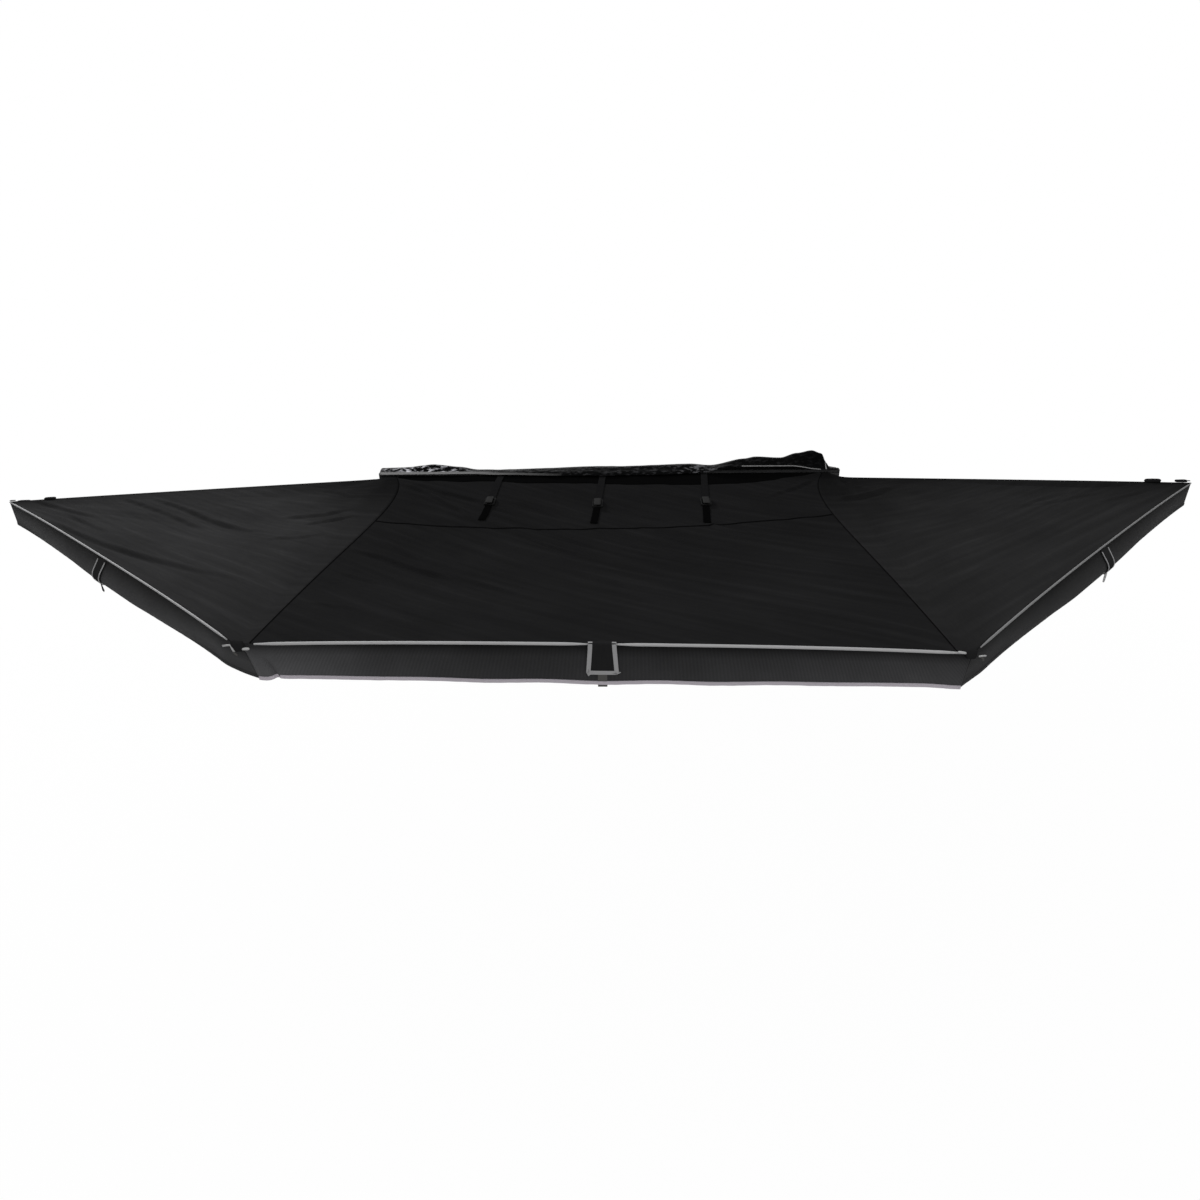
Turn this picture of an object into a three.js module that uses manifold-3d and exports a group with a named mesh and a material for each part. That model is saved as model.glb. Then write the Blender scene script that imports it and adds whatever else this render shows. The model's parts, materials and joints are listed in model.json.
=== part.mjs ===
// Batwing side awning for a vehicle's roof rack, shown open: four arms fold out from the two ends
// of a mounting rail and stretch a canopy with a hanging valance.
// Millimetres. +X runs along the mounting rail, -Y points away from the vehicle, +Z is up.
// The origin is the middle of the mounting rail's back face.
import * as THREE from "three";
import { mergeVertices } from "three/addons/utils/BufferGeometryUtils.js";
import Module from "manifold-3d";

// Fits shared by all pieces
const seat = 0.3;
const runningGap = 0.5;
const cutOverrun = 2;
const roundSides = 16;
const arcSegments = 3;

// Mounting rail, an extrusion with two T-slots behind and two rope channels
const railLength = 2000;
const railHeight = 100;
const railDepth = 18;
const railWall = 3;
const slotSpacing = 48;
const slotMouth = 9;
const slotLip = 3;
const slotChamberHeight = 15;
const slotChamberDepth = 7;
const ropeRadius = 3.5;
const ropeMouth = 3;
const ropeLip = 1.6;
const canopyChannelDrop = 12;
const endCapThickness = 3;
const endCapPlugLength = 12;

// Roof brackets and their T-slot bolts
const bracketSpacing = 1200;
const bracketWidth = 60;
const bracketPlate = 5;
const bracketReach = 75;
const bracketHoleMargin = 13;
const bracketFillet = 5;
const footSlotLength = 32;
const footSlotWidth = 9;
const footSlotSpacing = 34;
const footSlotStart = 24;
const footSlotCorner = 4;
const boltRadius = 4;
const boltClearance = 0.3;
const boltHeadFlats = 13;
const boltHeadHeight = 4.5;
const nutHeight = 6.5;
const boltTail = 4;

// Hinge brackets at the rail's ends and their pivots
const pivotInset = 50;
const hingePlate = 3;
const knuckleShoulder = 2.5;
const knuckleToWeb = 3.7;
const knuckleToKnuckle = 15;
const nestGap = 7;
const hingeBossMargin = 3;
const webInnerReach = 48;
const rivetHeadRadius = 5;
const rivetHeadHeight = 2.4;
const buttonHeadRadius = 7;
const buttonHeadHeight = 4.4;
const buttonTopShare = 0.62;

// Arms
const armReach = 1475;
const leftSweepDeg = 9;
const rightSweepDeg = 0;
const tubeSize = 25;
const tubeWall = 1.5;
const tubeCorner = 3;
const levelGap = 8;
const upperArmHeight = 9.5;
const neckLength = 24;
const plugLength = 45;
const tipSetback = 20;
const tipCapLength = 34;
const tipCapMargin = 2.5;
const tipCapEndWall = 4;

// Telescoping tips of the two side arms
const clampFromTip = 90;
const clampLength = 75;
const clampWall = 2.5;
const extensionSize = 21;
const extensionOverlap = 120;
const leverLength = 56;
const leverThickness = 5;
const leverHeight = 17;
const leverBarrelRadius = 4.5;
const leverPinRadius = 2.5;
const earThickness = 4;
const earLength = 14;

// Canopy cloth
const clothThickness = 1.5;
const clothLift = 5;
const channelFall = 120;
const channelFallShare = 0.25;
const crossSeamLeftDistance = 540;
const crossSeamRightDistance = 465;
const wingSeamRearInset = 95;
const wingSeamFrontInset = 33;
const frontEdgeCurve = 35;
const sideEdgeCurve = 28;
const centreSag = 59;
const frontEdgeSag = 6;
const leftWingSag = 34;
const rightWingSag = 20;
const wingSagStartShare = 0.15;
const wingSagEndShare = 0.95;
const leftWingFold = 8;
const rightWingFold = 2;
const wingFoldCount = 3;
const backOverhang = 15;
const seamGap = 0.4;
const ropeSides = 12;

// Valance and its hem
const valanceDrop = 116;
const valanceEndDrop = 98;
const hemWaveDepth = 7;
const hemWaveLength = 310;

// Tabs for poles at the middle of the three free edges
const tabTopWidth = 72;
const tabBottomWidth = 88;
const tabDrop = 88;
const tabThickness = 2;
const tabPlaceShare = 0.5;
const tailWidth = 25;
const tailDrop = 39;

// Compression straps lying on the canopy
const strapSpacing = 436;
const strapOffset = -37;
const strapWidth = 28;
const strapThickness = 1.6;
const strapStart = 6;
const strapLength = 455;
const strapLift = 0.8;
const buckleDistance = 280;
const buckleWidth = 42;
const buckleLength = 62;
const buckleThickness = 6;
const buckleBar = 6;
const buckleCorner = 4;

// Open bag cover thrown back over the rail
const coverThickness = 2;
const coverRise = 74;
const coverCrestDepth = 14;
const coverBackDepth = 120;
const coverHang = 82;
const coverRiseShare = 0.35;
// Height of the crest along the rail: place as a share of the rail's half length, then height as
// a share of the full rise.
const coverCrestShares = [
  [-1, 0.12],
  [-0.78, 0.35],
  [-0.6, 0.1],
  [-0.3, 0.06],
  [0.36, 0.25],
  [0.6, 0.55],
  [0.76, 0.62],
  [0.88, 1],
  [0.96, 0.2],
  [1, 0],
];

// Mesh counts
const centreColumns = 20;
const rearRows = 8;
const centreRows = 12;
const wingColumns = 16;
const wingRows = 16;
const wingSeamRows = 1;
const valanceColumns = 32;
const valanceRows = 3;
const strapRows = 10;
const coverColumns = 28;
const coverRows = 9;

// Places worked out from the sizes above
const railTop = railHeight / 2;
const channelHeight = railTop - canopyChannelDrop;
const knuckleRadius = tubeSize / 2 + knuckleShoulder;
const levelPitch = tubeSize + levelGap;
const lowerArmHeight = upperArmHeight - levelPitch;
const frontPivotX = railLength / 2 - pivotInset;
const frontPivotY = -(railDepth + seat + hingePlate + knuckleToWeb + knuckleRadius);
const sidePivotX = frontPivotX + 2 * knuckleRadius + knuckleToKnuckle;
const sidePivotY = frontPivotY - tubeSize - nestGap;
const canopyStart = railDepth + seat + runningGap;
const canopyRailHeight = channelHeight + clothThickness / 2;
const frontCornerDistance = -frontPivotY + armReach - canopyStart;
const capHalfWidth = tubeSize / 2 + tipCapMargin;
const clothUnderside = tubeSize / 2 + clothLift - clothThickness;

const ends = [
  {
    name: "left",
    side: -1,
    sweepDeg: leftSweepDeg,
    armHeight: upperArmHeight,
    wingSag: leftWingSag,
    wingFold: leftWingFold,
  },
  {
    name: "right",
    side: 1,
    sweepDeg: rightSweepDeg,
    armHeight: lowerArmHeight,
    wingSag: rightWingSag,
    wingFold: rightWingFold,
  },
];

const wasm = await Module();
wasm.setup();

// Materials
function finish(color, roughness, metalness) {
  return new THREE.MeshStandardMaterial({ color, roughness, metalness });
}
const aluminium = finish(0xb4b6b9, 0.38, 0.9);
const blackSteel = finish(0x1b1b1d, 0.45, 0.6);
const zincSteel = finish(0xa9abae, 0.3, 0.95);
const blackPlastic = finish(0x151516, 0.5, 0);
const canopyCloth = finish(0x1a1a1b, 0.85, 0);
const valanceCloth = finish(0x2c2c2e, 0.9, 0);
const coverVinyl = finish(0x0d0d0e, 0.3, 0);
const webbing = finish(0x19191a, 0.9, 0);

// Solids

// A closed mesh as a solid for joining and cutting.
function toSolid(geometry) {
  const bare = geometry.clone();
  bare.deleteAttribute("normal");
  bare.deleteAttribute("uv");
  const merged = mergeVertices(bare);
  return new wasm.Manifold(
    new wasm.Mesh({
      numProp: 3,
      vertProperties: merged.attributes.position.array,
      triVerts: new Uint32Array(merged.index.array),
    }),
  );
}

// The solid's surface as a geometry.
function toGeometry(solid) {
  const mesh = solid.getMesh();
  const geometry = new THREE.BufferGeometry();
  geometry.setAttribute("position", new THREE.BufferAttribute(mesh.vertProperties, mesh.numProp));
  geometry.setIndex(new THREE.BufferAttribute(mesh.triVerts, 1));
  geometry.computeVertexNormals();
  return geometry;
}

function join(...geometries) {
  return toGeometry(geometries.map(toSolid).reduce((whole, part) => whole.add(part)));
}

function cut(geometry, ...tools) {
  return toGeometry(tools.map(toSolid).reduce((left, tool) => left.subtract(tool), toSolid(geometry)));
}

// A box between two corners.
function block(low, high) {
  const size = high.map((value, axis) => value - low[axis]);
  const middle = high.map((value, axis) => (value + low[axis]) / 2);
  return new THREE.BoxGeometry(...size).translate(...middle);
}

// An outline drawn in (Y, Z), extruded along X between two places.
function alongX(outline, from, to, segments = arcSegments) {
  const geometry = new THREE.ExtrudeGeometry(outline, {
    depth: to - from,
    bevelEnabled: false,
    curveSegments: segments,
  });
  const turn = new THREE.Matrix4().makeBasis(
    new THREE.Vector3(0, 1, 0),
    new THREE.Vector3(0, 0, 1),
    new THREE.Vector3(1, 0, 0),
  );
  return geometry.applyMatrix4(turn).translate(from, 0, 0);
}

// An outline drawn in (X, Y), extruded upwards between two heights.
function upward(outline, from, to, segments = arcSegments) {
  const geometry = new THREE.ExtrudeGeometry(outline, {
    depth: to - from,
    bevelEnabled: false,
    curveSegments: segments,
  });
  return geometry.translate(0, 0, from);
}

// A round bar standing on Z between two heights.
function bar(radius, from, to, sides = roundSides) {
  return new THREE.CylinderGeometry(radius, radius, to - from, sides)
    .rotateX(Math.PI / 2)
    .translate(0, 0, (from + to) / 2);
}

// A round bar along Y between two places.
function barAlongY(radius, from, to, sides = roundSides) {
  return new THREE.CylinderGeometry(radius, radius, to - from, sides).translate(0, (from + to) / 2, 0);
}

// A rectangle with round corners, centred on the outline's own origin.
function roundedRectangle(width, height, corner, path = new THREE.Shape()) {
  const x = width / 2;
  const y = height / 2;
  path.moveTo(-x + corner, -y);
  path.lineTo(x - corner, -y);
  path.absarc(x - corner, -y + corner, corner, -Math.PI / 2, 0, false);
  path.lineTo(x, y - corner);
  path.absarc(x - corner, y - corner, corner, 0, Math.PI / 2, false);
  path.lineTo(-x + corner, y);
  path.absarc(-x + corner, y - corner, corner, Math.PI / 2, Math.PI, false);
  path.lineTo(-x, -y + corner);
  path.absarc(-x + corner, -y + corner, corner, Math.PI, 1.5 * Math.PI, false);
  return path;
}

// A square tube with round corners, lying along X.
function squareTube(size, wall, corner, from, to) {
  const outline = roundedRectangle(size, size, corner);
  outline.holes.push(
    roundedRectangle(size - 2 * wall, size - 2 * wall, Math.max(corner - wall, wall / 2), new THREE.Path()),
  );
  return alongX(outline, from, to);
}

const hexSides = 6;

// Radius of a hexagon's corners from its width across flats.
function hexRadius(flats) {
  return flats / Math.sqrt(3);
}

// A closed thin body between a surface over (u, v) and its copy moved by offsetAt(u, v).
function closedSheet(columns, rows, pointAt, offsetAt) {
  const positions = [];
  const triangles = [];
  const layer = (columns + 1) * (rows + 1);
  for (const onCopy of [0, 1]) {
    for (let column = 0; column <= columns; column += 1) {
      for (let row = 0; row <= rows; row += 1) {
        const u = column / columns;
        const v = row / rows;
        const point = pointAt(u, v);
        if (onCopy) {
          point.add(offsetAt(u, v));
        }
        positions.push(point.x, point.y, point.z);
      }
    }
  }
  const at = (column, row) => column * (rows + 1) + row;
  const face = (a, b, c, d) => triangles.push(a, b, c, a, c, d);
  for (let column = 0; column < columns; column += 1) {
    for (let row = 0; row < rows; row += 1) {
      const corners = [at(column, row), at(column + 1, row), at(column + 1, row + 1), at(column, row + 1)];
      const [a, b, c, d] = corners;
      face(a, b, c, d);
      triangles.push(layer + c, layer + b, layer + a, layer + d, layer + c, layer + a);
    }
  }
  const rim = (a, b) => face(b, a, layer + a, layer + b);
  for (let column = 0; column < columns; column += 1) {
    rim(at(column, 0), at(column + 1, 0));
    rim(at(column + 1, rows), at(column, rows));
  }
  for (let row = 0; row < rows; row += 1) {
    rim(at(0, row + 1), at(0, row));
    rim(at(columns, row), at(columns, row + 1));
  }
  const geometry = new THREE.BufferGeometry();
  geometry.setAttribute("position", new THREE.Float32BufferAttribute(positions, 3));
  geometry.setIndex(triangles);
  return facingOut(geometry);
}

// Turns every face round if the closed mesh is inside out.
function facingOut(geometry) {
  const place = geometry.getAttribute("position");
  const index = geometry.getIndex().array;
  const corner = (n) => new THREE.Vector3().fromBufferAttribute(place, index[n]);
  let volume = 0;
  for (let n = 0; n < index.length; n += 3) {
    volume += corner(n).dot(corner(n + 1).cross(corner(n + 2)));
  }
  if (volume < 0) {
    for (let n = 0; n < index.length; n += 3) {
      [index[n + 1], index[n + 2]] = [index[n + 2], index[n + 1]];
    }
  }
  geometry.computeVertexNormals();
  return geometry;
}

const awning = new THREE.Group();
awning.name = "side_awning";

function place(name, geometry, material, parent = awning) {
  const mesh = new THREE.Mesh(geometry, material);
  mesh.name = name;
  parent.add(mesh);
  return mesh;
}

// Mounting rail

// Depth of a rope channel's centre below the face that it opens in.
const ropeDepth = ropeLip + Math.sqrt(ropeRadius ** 2 - (ropeMouth / 2) ** 2);

// Adds a round rope channel that opens at (y, z), with its mouth along the edge being drawn.
function ropeChannel(outline, y, z, inward, along) {
  const half = ropeMouth / 2;
  const centreY = y + inward[0] * ropeDepth;
  const centreZ = z + inward[1] * ropeDepth;
  const mouthStart = [y - along[0] * half, z - along[1] * half];
  const mouthEnd = [y + along[0] * half, z + along[1] * half];
  const lipStart = [mouthStart[0] + inward[0] * ropeLip, mouthStart[1] + inward[1] * ropeLip];
  const lipEnd = [mouthEnd[0] + inward[0] * ropeLip, mouthEnd[1] + inward[1] * ropeLip];
  outline.lineTo(...mouthStart);
  outline.lineTo(...lipStart);
  const startAngle = Math.atan2(lipStart[1] - centreZ, lipStart[0] - centreY);
  const endAngle = Math.atan2(lipEnd[1] - centreZ, lipEnd[0] - centreY);
  outline.absarc(centreY, centreZ, ropeRadius, startAngle, endAngle, true);
  outline.lineTo(...mouthEnd);
}

// Adds a T-slot that opens in the back face at height z, drawn upwards.
function tSlot(outline, z) {
  const mouth = slotMouth / 2;
  const chamber = slotChamberHeight / 2;
  const floor = -(slotLip + slotChamberDepth);
  outline.lineTo(0, z - mouth);
  outline.lineTo(-slotLip, z - mouth);
  outline.lineTo(-slotLip, z - chamber);
  outline.lineTo(floor, z - chamber);
  outline.lineTo(floor, z + chamber);
  outline.lineTo(-slotLip, z + chamber);
  outline.lineTo(-slotLip, z + mouth);
  outline.lineTo(0, z + mouth);
}

const hollowHalfHeight = slotSpacing / 2 - slotChamberHeight / 2 - railWall;
const hollowWidth = railDepth - 2 * railWall;

function railOutline() {
  const outline = new THREE.Shape();
  outline.moveTo(-railDepth, -railTop);
  outline.lineTo(0, -railTop);
  tSlot(outline, -slotSpacing / 2);
  tSlot(outline, slotSpacing / 2);
  outline.lineTo(0, railTop);
  ropeChannel(outline, -railDepth / 2, railTop, [0, -1], [-1, 0]);
  outline.lineTo(-railDepth, railTop);
  ropeChannel(outline, -railDepth, channelHeight, [1, 0], [0, -1]);
  outline.closePath();
  const hollow = new THREE.Path();
  hollow.moveTo(-railWall, -hollowHalfHeight);
  hollow.lineTo(-railWall, hollowHalfHeight);
  hollow.lineTo(-railDepth + railWall, hollowHalfHeight);
  hollow.lineTo(-railDepth + railWall, -hollowHalfHeight);
  hollow.closePath();
  outline.holes.push(hollow);
  return outline;
}

function endCap(side) {
  const inner = railLength / 2 + seat;
  const plate = alongX(roundedRectangle(railDepth, railHeight, railWall), inner, inner + endCapThickness);
  plate.translate(0, -railDepth / 2, 0);
  const plugHalfWidth = hollowWidth / 2 - runningGap;
  const plugHalfHeight = hollowHalfHeight - runningGap;
  const plug = block(
    [inner - endCapPlugLength, -railDepth / 2 - plugHalfWidth, -plugHalfHeight],
    [inner + endCapThickness / 2, -railDepth / 2 + plugHalfWidth, plugHalfHeight],
  );
  const cap = join(plate, plug);
  return side > 0 ? cap : cap.rotateZ(Math.PI).translate(0, -railDepth, 0);
}

function makeRail() {
  const rail = alongX(railOutline(), -railLength / 2, railLength / 2, roundSides / 2);
  place("mounting_rail", rail, aluminium);
  for (const { name, side } of ends) {
    place(`${name}_rail_end_cap`, endCap(side), blackPlastic);
  }
}

// Roof brackets

function bracketOutline() {
  const top = slotSpacing / 2 + bracketHoleMargin;
  const sole = -railTop - seat - bracketPlate;
  const outline = new THREE.Shape();
  outline.moveTo(seat, sole);
  outline.lineTo(bracketReach, sole);
  outline.lineTo(bracketReach, sole + bracketPlate);
  outline.lineTo(seat + bracketPlate + bracketFillet, sole + bracketPlate);
  outline.absarc(
    seat + bracketPlate + bracketFillet,
    sole + bracketPlate + bracketFillet,
    bracketFillet,
    -Math.PI / 2,
    -Math.PI,
    true,
  );
  outline.lineTo(seat + bracketPlate, top);
  outline.lineTo(seat, top);
  outline.closePath();
  return outline;
}

// Upright tool for a foot slot that runs along Y.
function footSlot(x) {
  const sole = -railTop - seat - bracketPlate;
  const outline = roundedRectangle(footSlotWidth, footSlotLength, footSlotCorner);
  return upward(outline, sole - cutOverrun, sole + bracketPlate + cutOverrun).translate(
    x,
    footSlotStart + footSlotLength / 2,
    0,
  );
}

function roofBracket() {
  const holes = [-1, 1].map((end) =>
    barAlongY(boltRadius + boltClearance, seat - cutOverrun, seat + bracketPlate + cutOverrun).translate(
      0,
      0,
      (end * slotSpacing) / 2,
    ),
  );
  const slots = [-1, 1].map((end) => footSlot((end * footSlotSpacing) / 2));
  return cut(alongX(bracketOutline(), -bracketWidth / 2, bracketWidth / 2), ...holes, ...slots);
}

const slotBoltEnd = seat + bracketPlate + seat + nutHeight + boltTail;

// Bolt with its head in the T-slot and its shank pointing back.
function slotBolt() {
  const headBack = -(slotLip + seat);
  const head = barAlongY(hexRadius(boltHeadFlats), headBack - boltHeadHeight, headBack, hexSides);
  head.rotateY(Math.PI / hexSides);
  return join(head, barAlongY(boltRadius, headBack - boltHeadHeight / 2, slotBoltEnd));
}

// Hexagon nut around the Z axis, standing on height zero.
function hexNut() {
  const radius = hexRadius(boltHeadFlats);
  const corners = Array.from({ length: hexSides }, (_, corner) => {
    const angle = (2 * Math.PI * corner) / hexSides;
    return new THREE.Vector2(radius * Math.cos(angle), radius * Math.sin(angle));
  });
  const outline = new THREE.Shape(corners);
  const bore = new THREE.Path();
  bore.absarc(0, 0, boltRadius + boltClearance, 0, 2 * Math.PI, true);
  outline.holes.push(bore);
  return upward(outline, 0, nutHeight, roundSides / 2);
}

function makeRoofBrackets() {
  for (const { name, side } of ends) {
    const x = (side * bracketSpacing) / 2;
    place(`${name}_roof_bracket`, roofBracket(), blackSteel).position.x = x;
    for (const [level, height] of [["upper", slotSpacing / 2], ["lower", -slotSpacing / 2]]) {
      place(`${name}_${level}_slot_bolt`, slotBolt(), zincSteel).position.set(x, 0, height);
      const nut = hexNut().rotateX(-Math.PI / 2);
      place(`${name}_${level}_slot_nut`, nut, zincSteel).position.set(x, seat + bracketPlate + seat, height);
    }
  }
}

// Hinge brackets with their pivot bolts

// Outline round a set of circles, as their convex hull.
function hullOutline(circles) {
  const points = circles.flatMap(([x, y, radius]) => {
    const sides = radius > 0 ? roundSides : 1;
    return Array.from({ length: sides }, (_, n) => {
      const angle = (2 * Math.PI * n) / sides;
      return [x + radius * Math.cos(angle), y + radius * Math.sin(angle)];
    });
  });
  points.sort((p, q) => p[0] - q[0] || p[1] - q[1]);
  const turnsLeft = (o, p, q) => (p[0] - o[0]) * (q[1] - o[1]) - (p[1] - o[1]) * (q[0] - o[0]) > 0;
  const chain = (sorted) => {
    const kept = [];
    for (const point of sorted) {
      while (kept.length > 1 && !turnsLeft(kept[kept.length - 2], kept[kept.length - 1], point)) {
        kept.pop();
      }
      kept.push(point);
    }
    return kept.slice(0, -1);
  };
  const loop = [...chain(points), ...chain([...points].reverse())];
  return new THREE.Shape(loop.map(([x, y]) => new THREE.Vector2(x, y)));
}

const hingeInside = tubeSize / 2 + runningGap;
const hingeOutside = hingeInside + hingePlate;

// C-shaped bracket for the right end, with its arms' height at zero.
function hingeBracket() {
  const webBack = -(railDepth + seat);
  const bossRadius = knuckleRadius + hingeBossMargin;
  const innerEnd = frontPivotX - webInnerReach;
  const outerEnd = sidePivotX;
  const outline = hullOutline([
    [frontPivotX, frontPivotY, bossRadius],
    [sidePivotX, sidePivotY, bossRadius],
    [innerEnd, webBack, 0],
    [outerEnd, webBack, 0],
  ]);
  const webFront = webBack - hingePlate;
  const gap = block(
    [innerEnd - cutOverrun, sidePivotY - bossRadius - cutOverrun, -hingeInside],
    [outerEnd + bossRadius + cutOverrun, webFront, hingeInside],
  );
  const pivots = [[frontPivotX, frontPivotY], [sidePivotX, sidePivotY]];
  const holes = pivots.map(([x, y]) =>
    bar(boltRadius + boltClearance, -hingeOutside - cutOverrun, hingeOutside + cutOverrun).translate(x, y, 0),
  );
  const rivetX = innerEnd + 2 * rivetHeadRadius;
  const rivetLength = rivetHeadHeight + hingePlate / 2;
  const rivets = [-1, 1].map((end) =>
    new THREE.CylinderGeometry(rivetHeadRadius, rivetHeadRadius / 2, rivetLength, roundSides).translate(
      rivetX,
      webFront - rivetHeadHeight + rivetLength / 2,
      (end * hingeInside) / 2,
    ),
  );
  return join(cut(upward(outline, -hingeOutside, hingeOutside), gap, ...holes), ...rivets);
}

// Button-head bolt with the top of the bracket at height zero.
function pivotBolt() {
  const topRadius = buttonHeadRadius * buttonTopShare;
  const head = new THREE.CylinderGeometry(topRadius, buttonHeadRadius, buttonHeadHeight, roundSides)
    .rotateX(Math.PI / 2)
    .translate(0, 0, seat + buttonHeadHeight / 2);
  const end = -2 * hingeOutside - seat - nutHeight - boltTail;
  return join(head, bar(boltRadius, end, seat + buttonHeadHeight / 2));
}

function pivotsOf({ side }) {
  return [
    ["front", side * frontPivotX, frontPivotY],
    ["side", side * sidePivotX, sidePivotY],
  ];
}

function makeHingeBrackets() {
  for (const end of ends) {
    const bracket = hingeBracket();
    if (end.side < 0) {
      bracket.applyMatrix4(new THREE.Matrix4().makeScale(-1, 1, 1));
      bracket.index.array.reverse();
    }
    place(`${end.name}_hinge_bracket`, bracket, blackSteel).position.z = end.armHeight;
    const plateTop = end.armHeight + hingeOutside;
    const nutFoot = end.armHeight - hingeOutside - seat - nutHeight;
    for (const [arm, x, y] of pivotsOf(end)) {
      place(`${end.name}_${arm}_pivot_bolt`, pivotBolt(), zincSteel).position.set(x, y, plateTop);
      place(`${end.name}_${arm}_pivot_nut`, hexNut(), zincSteel).position.set(x, y, nutFoot);
    }
  }
}

// Arms, each drawn along +X from its pivot at the origin

function knuckle() {
  const half = tubeSize / 2;
  const plugSize = tubeSize - 2 * (tubeWall + seat);
  const eye = bar(knuckleRadius, -half, half);
  const neck = block([0, -half, -half], [neckLength - seat, half, half]);
  const plugProfile = roundedRectangle(plugSize, plugSize, tubeCorner - tubeWall / 2);
  const plug = alongX(plugProfile, neckLength / 2, neckLength + plugLength);
  const bore = bar(boltRadius + boltClearance, -half - cutOverrun, half + cutOverrun);
  return cut(join(eye, neck, plug), bore);
}

// Cap that closes a tube of the given size and carries the cloth's corner on its top.
function tipCap(size) {
  const end = armReach - tipSetback;
  const start = end - tipCapLength;
  const top = clothUnderside - seat;
  const foot = -tubeSize / 2 - tipCapMargin;
  const outline = roundedRectangle(2 * capHalfWidth, top - foot, tubeCorner);
  const body = alongX(outline, start, end).translate(0, 0, (top + foot) / 2);
  const pocketHalf = size / 2 + seat;
  const pocket = block(
    [start - cutOverrun, -pocketHalf, -pocketHalf],
    [end - tipCapEndWall, pocketHalf, pocketHalf],
  );
  return cut(body, pocket);
}

const tubeEndInCap = armReach - tipSetback - tipCapEndWall - seat;
const clampStart = armReach - clampFromTip - clampLength;
const clampEnd = armReach - clampFromTip;
const sideTubeEnd = clampStart + clampLength / 2;
const clampHalf = tubeSize / 2 + seat + clampWall;
const leverAxisX = clampStart + earLength / 2;
const leverAxisY = clampHalf + runningGap + leverBarrelRadius;
const earInside = leverHeight / 2 + runningGap;
const earOutside = earInside + earThickness;

// Collar that grips the tube and its extension, with ears for the lever on the +Y side.
function clampCollar() {
  const tubeBore = tubeSize / 2 + seat;
  const extensionBore = extensionSize / 2 + seat;
  const body = block([clampStart, -clampHalf, -clampHalf], [clampEnd, clampHalf, clampHalf]);
  const wide = block([clampStart - cutOverrun, -tubeBore, -tubeBore], [sideTubeEnd + seat, tubeBore, tubeBore]);
  const narrow = block(
    [clampStart, -extensionBore, -extensionBore],
    [clampEnd + cutOverrun, extensionBore, extensionBore],
  );
  const ears = [-1, 1].map((end) => {
    const ear = hullOutline([
      [leverAxisX, leverAxisY, leverBarrelRadius],
      [clampStart, clampHalf - clampWall / 2, 0],
      [clampStart + earLength, clampHalf - clampWall / 2, 0],
    ]);
    const low = end > 0 ? earInside : -earOutside;
    return upward(ear, low, low + earThickness);
  });
  const pinHole = bar(leverPinRadius + boltClearance, -earOutside - cutOverrun, earOutside + cutOverrun);
  pinHole.translate(leverAxisX, leverAxisY, 0);
  return cut(join(body, ...ears), wide, narrow, pinHole);
}

// Flip lever with moulded pins in the collar's ears.
function clampLever() {
  const half = leverHeight / 2;
  const barrel = bar(leverBarrelRadius, -half, half).translate(leverAxisX, leverAxisY, 0);
  const pinEnd = earOutside - seat;
  const pin = bar(leverPinRadius, -pinEnd, pinEnd).translate(leverAxisX, leverAxisY, 0);
  const inner = leverAxisY + leverBarrelRadius - leverThickness;
  const handle = block([leverAxisX, inner, -half], [leverAxisX + leverLength, inner + leverThickness, half]);
  return join(barrel, pin, handle);
}

function makeFrontArm(end) {
  const arm = new THREE.Group();
  arm.position.set(end.side * frontPivotX, frontPivotY, end.armHeight);
  arm.rotation.z = -Math.PI / 2;
  awning.add(arm);
  place(`${end.name}_front_knuckle`, knuckle(), blackPlastic, arm);
  place(
    `${end.name}_front_arm_tube`,
    squareTube(tubeSize, tubeWall, tubeCorner, neckLength, tubeEndInCap),
    aluminium,
    arm,
  );
  place(`${end.name}_front_tip_cap`, tipCap(tubeSize), blackPlastic, arm);
}

function sideArmAngle({ side, sweepDeg }) {
  const sweep = THREE.MathUtils.degToRad(sweepDeg);
  return side > 0 ? -sweep : Math.PI + sweep;
}

function makeSideArm(end) {
  const arm = new THREE.Group();
  arm.position.set(end.side * sidePivotX, sidePivotY, end.armHeight);
  arm.rotation.z = sideArmAngle(end);
  awning.add(arm);
  place(`${end.name}_side_knuckle`, knuckle(), blackPlastic, arm);
  place(
    `${end.name}_side_arm_tube`,
    squareTube(tubeSize, tubeWall, tubeCorner, neckLength, sideTubeEnd),
    aluminium,
    arm,
  );
  place(
    `${end.name}_extension_tube`,
    squareTube(extensionSize, tubeWall, tubeCorner, clampStart - extensionOverlap, tubeEndInCap),
    aluminium,
    arm,
  );
  place(`${end.name}_side_tip_cap`, tipCap(extensionSize), blackPlastic, arm);
  const collar = place(`${end.name}_clamp_collar`, clampCollar(), blackPlastic, arm);
  const lever = place(`${end.name}_clamp_lever`, clampLever(), blackPlastic, arm);
  if (end.side < 0) {
    collar.rotation.x = Math.PI;
    lever.rotation.x = Math.PI;
  }
}

// Canopy surfaces

function clothTop({ armHeight }) {
  return armHeight + tubeSize / 2 + clothLift;
}

function mix(a, b, share) {
  return a + (b - a) * share;
}

// How much of the climb to the rail's channel is left at a distance from the rail: a short dip,
// then a taut line to the free edge.
function channelShare(distance) {
  const dip = Math.max(0, 1 - distance / channelFall) ** 2;
  return mix(Math.max(0, 1 - distance / frontCornerDistance), dip, channelFallShare);
}

// A hump that is flat at both ends and one in the middle.
function bulge(share) {
  return Math.sin(Math.PI * share) ** 2;
}

// A parabola that is zero at both ends and one in the middle.
function arch(share) {
  return 4 * share * (1 - share);
}

// Distance from the rail to the front edge, for a place from the left front arm to the right one.
function frontDistance(acrossShare) {
  return frontCornerDistance - frontEdgeCurve * arch(acrossShare);
}

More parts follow.
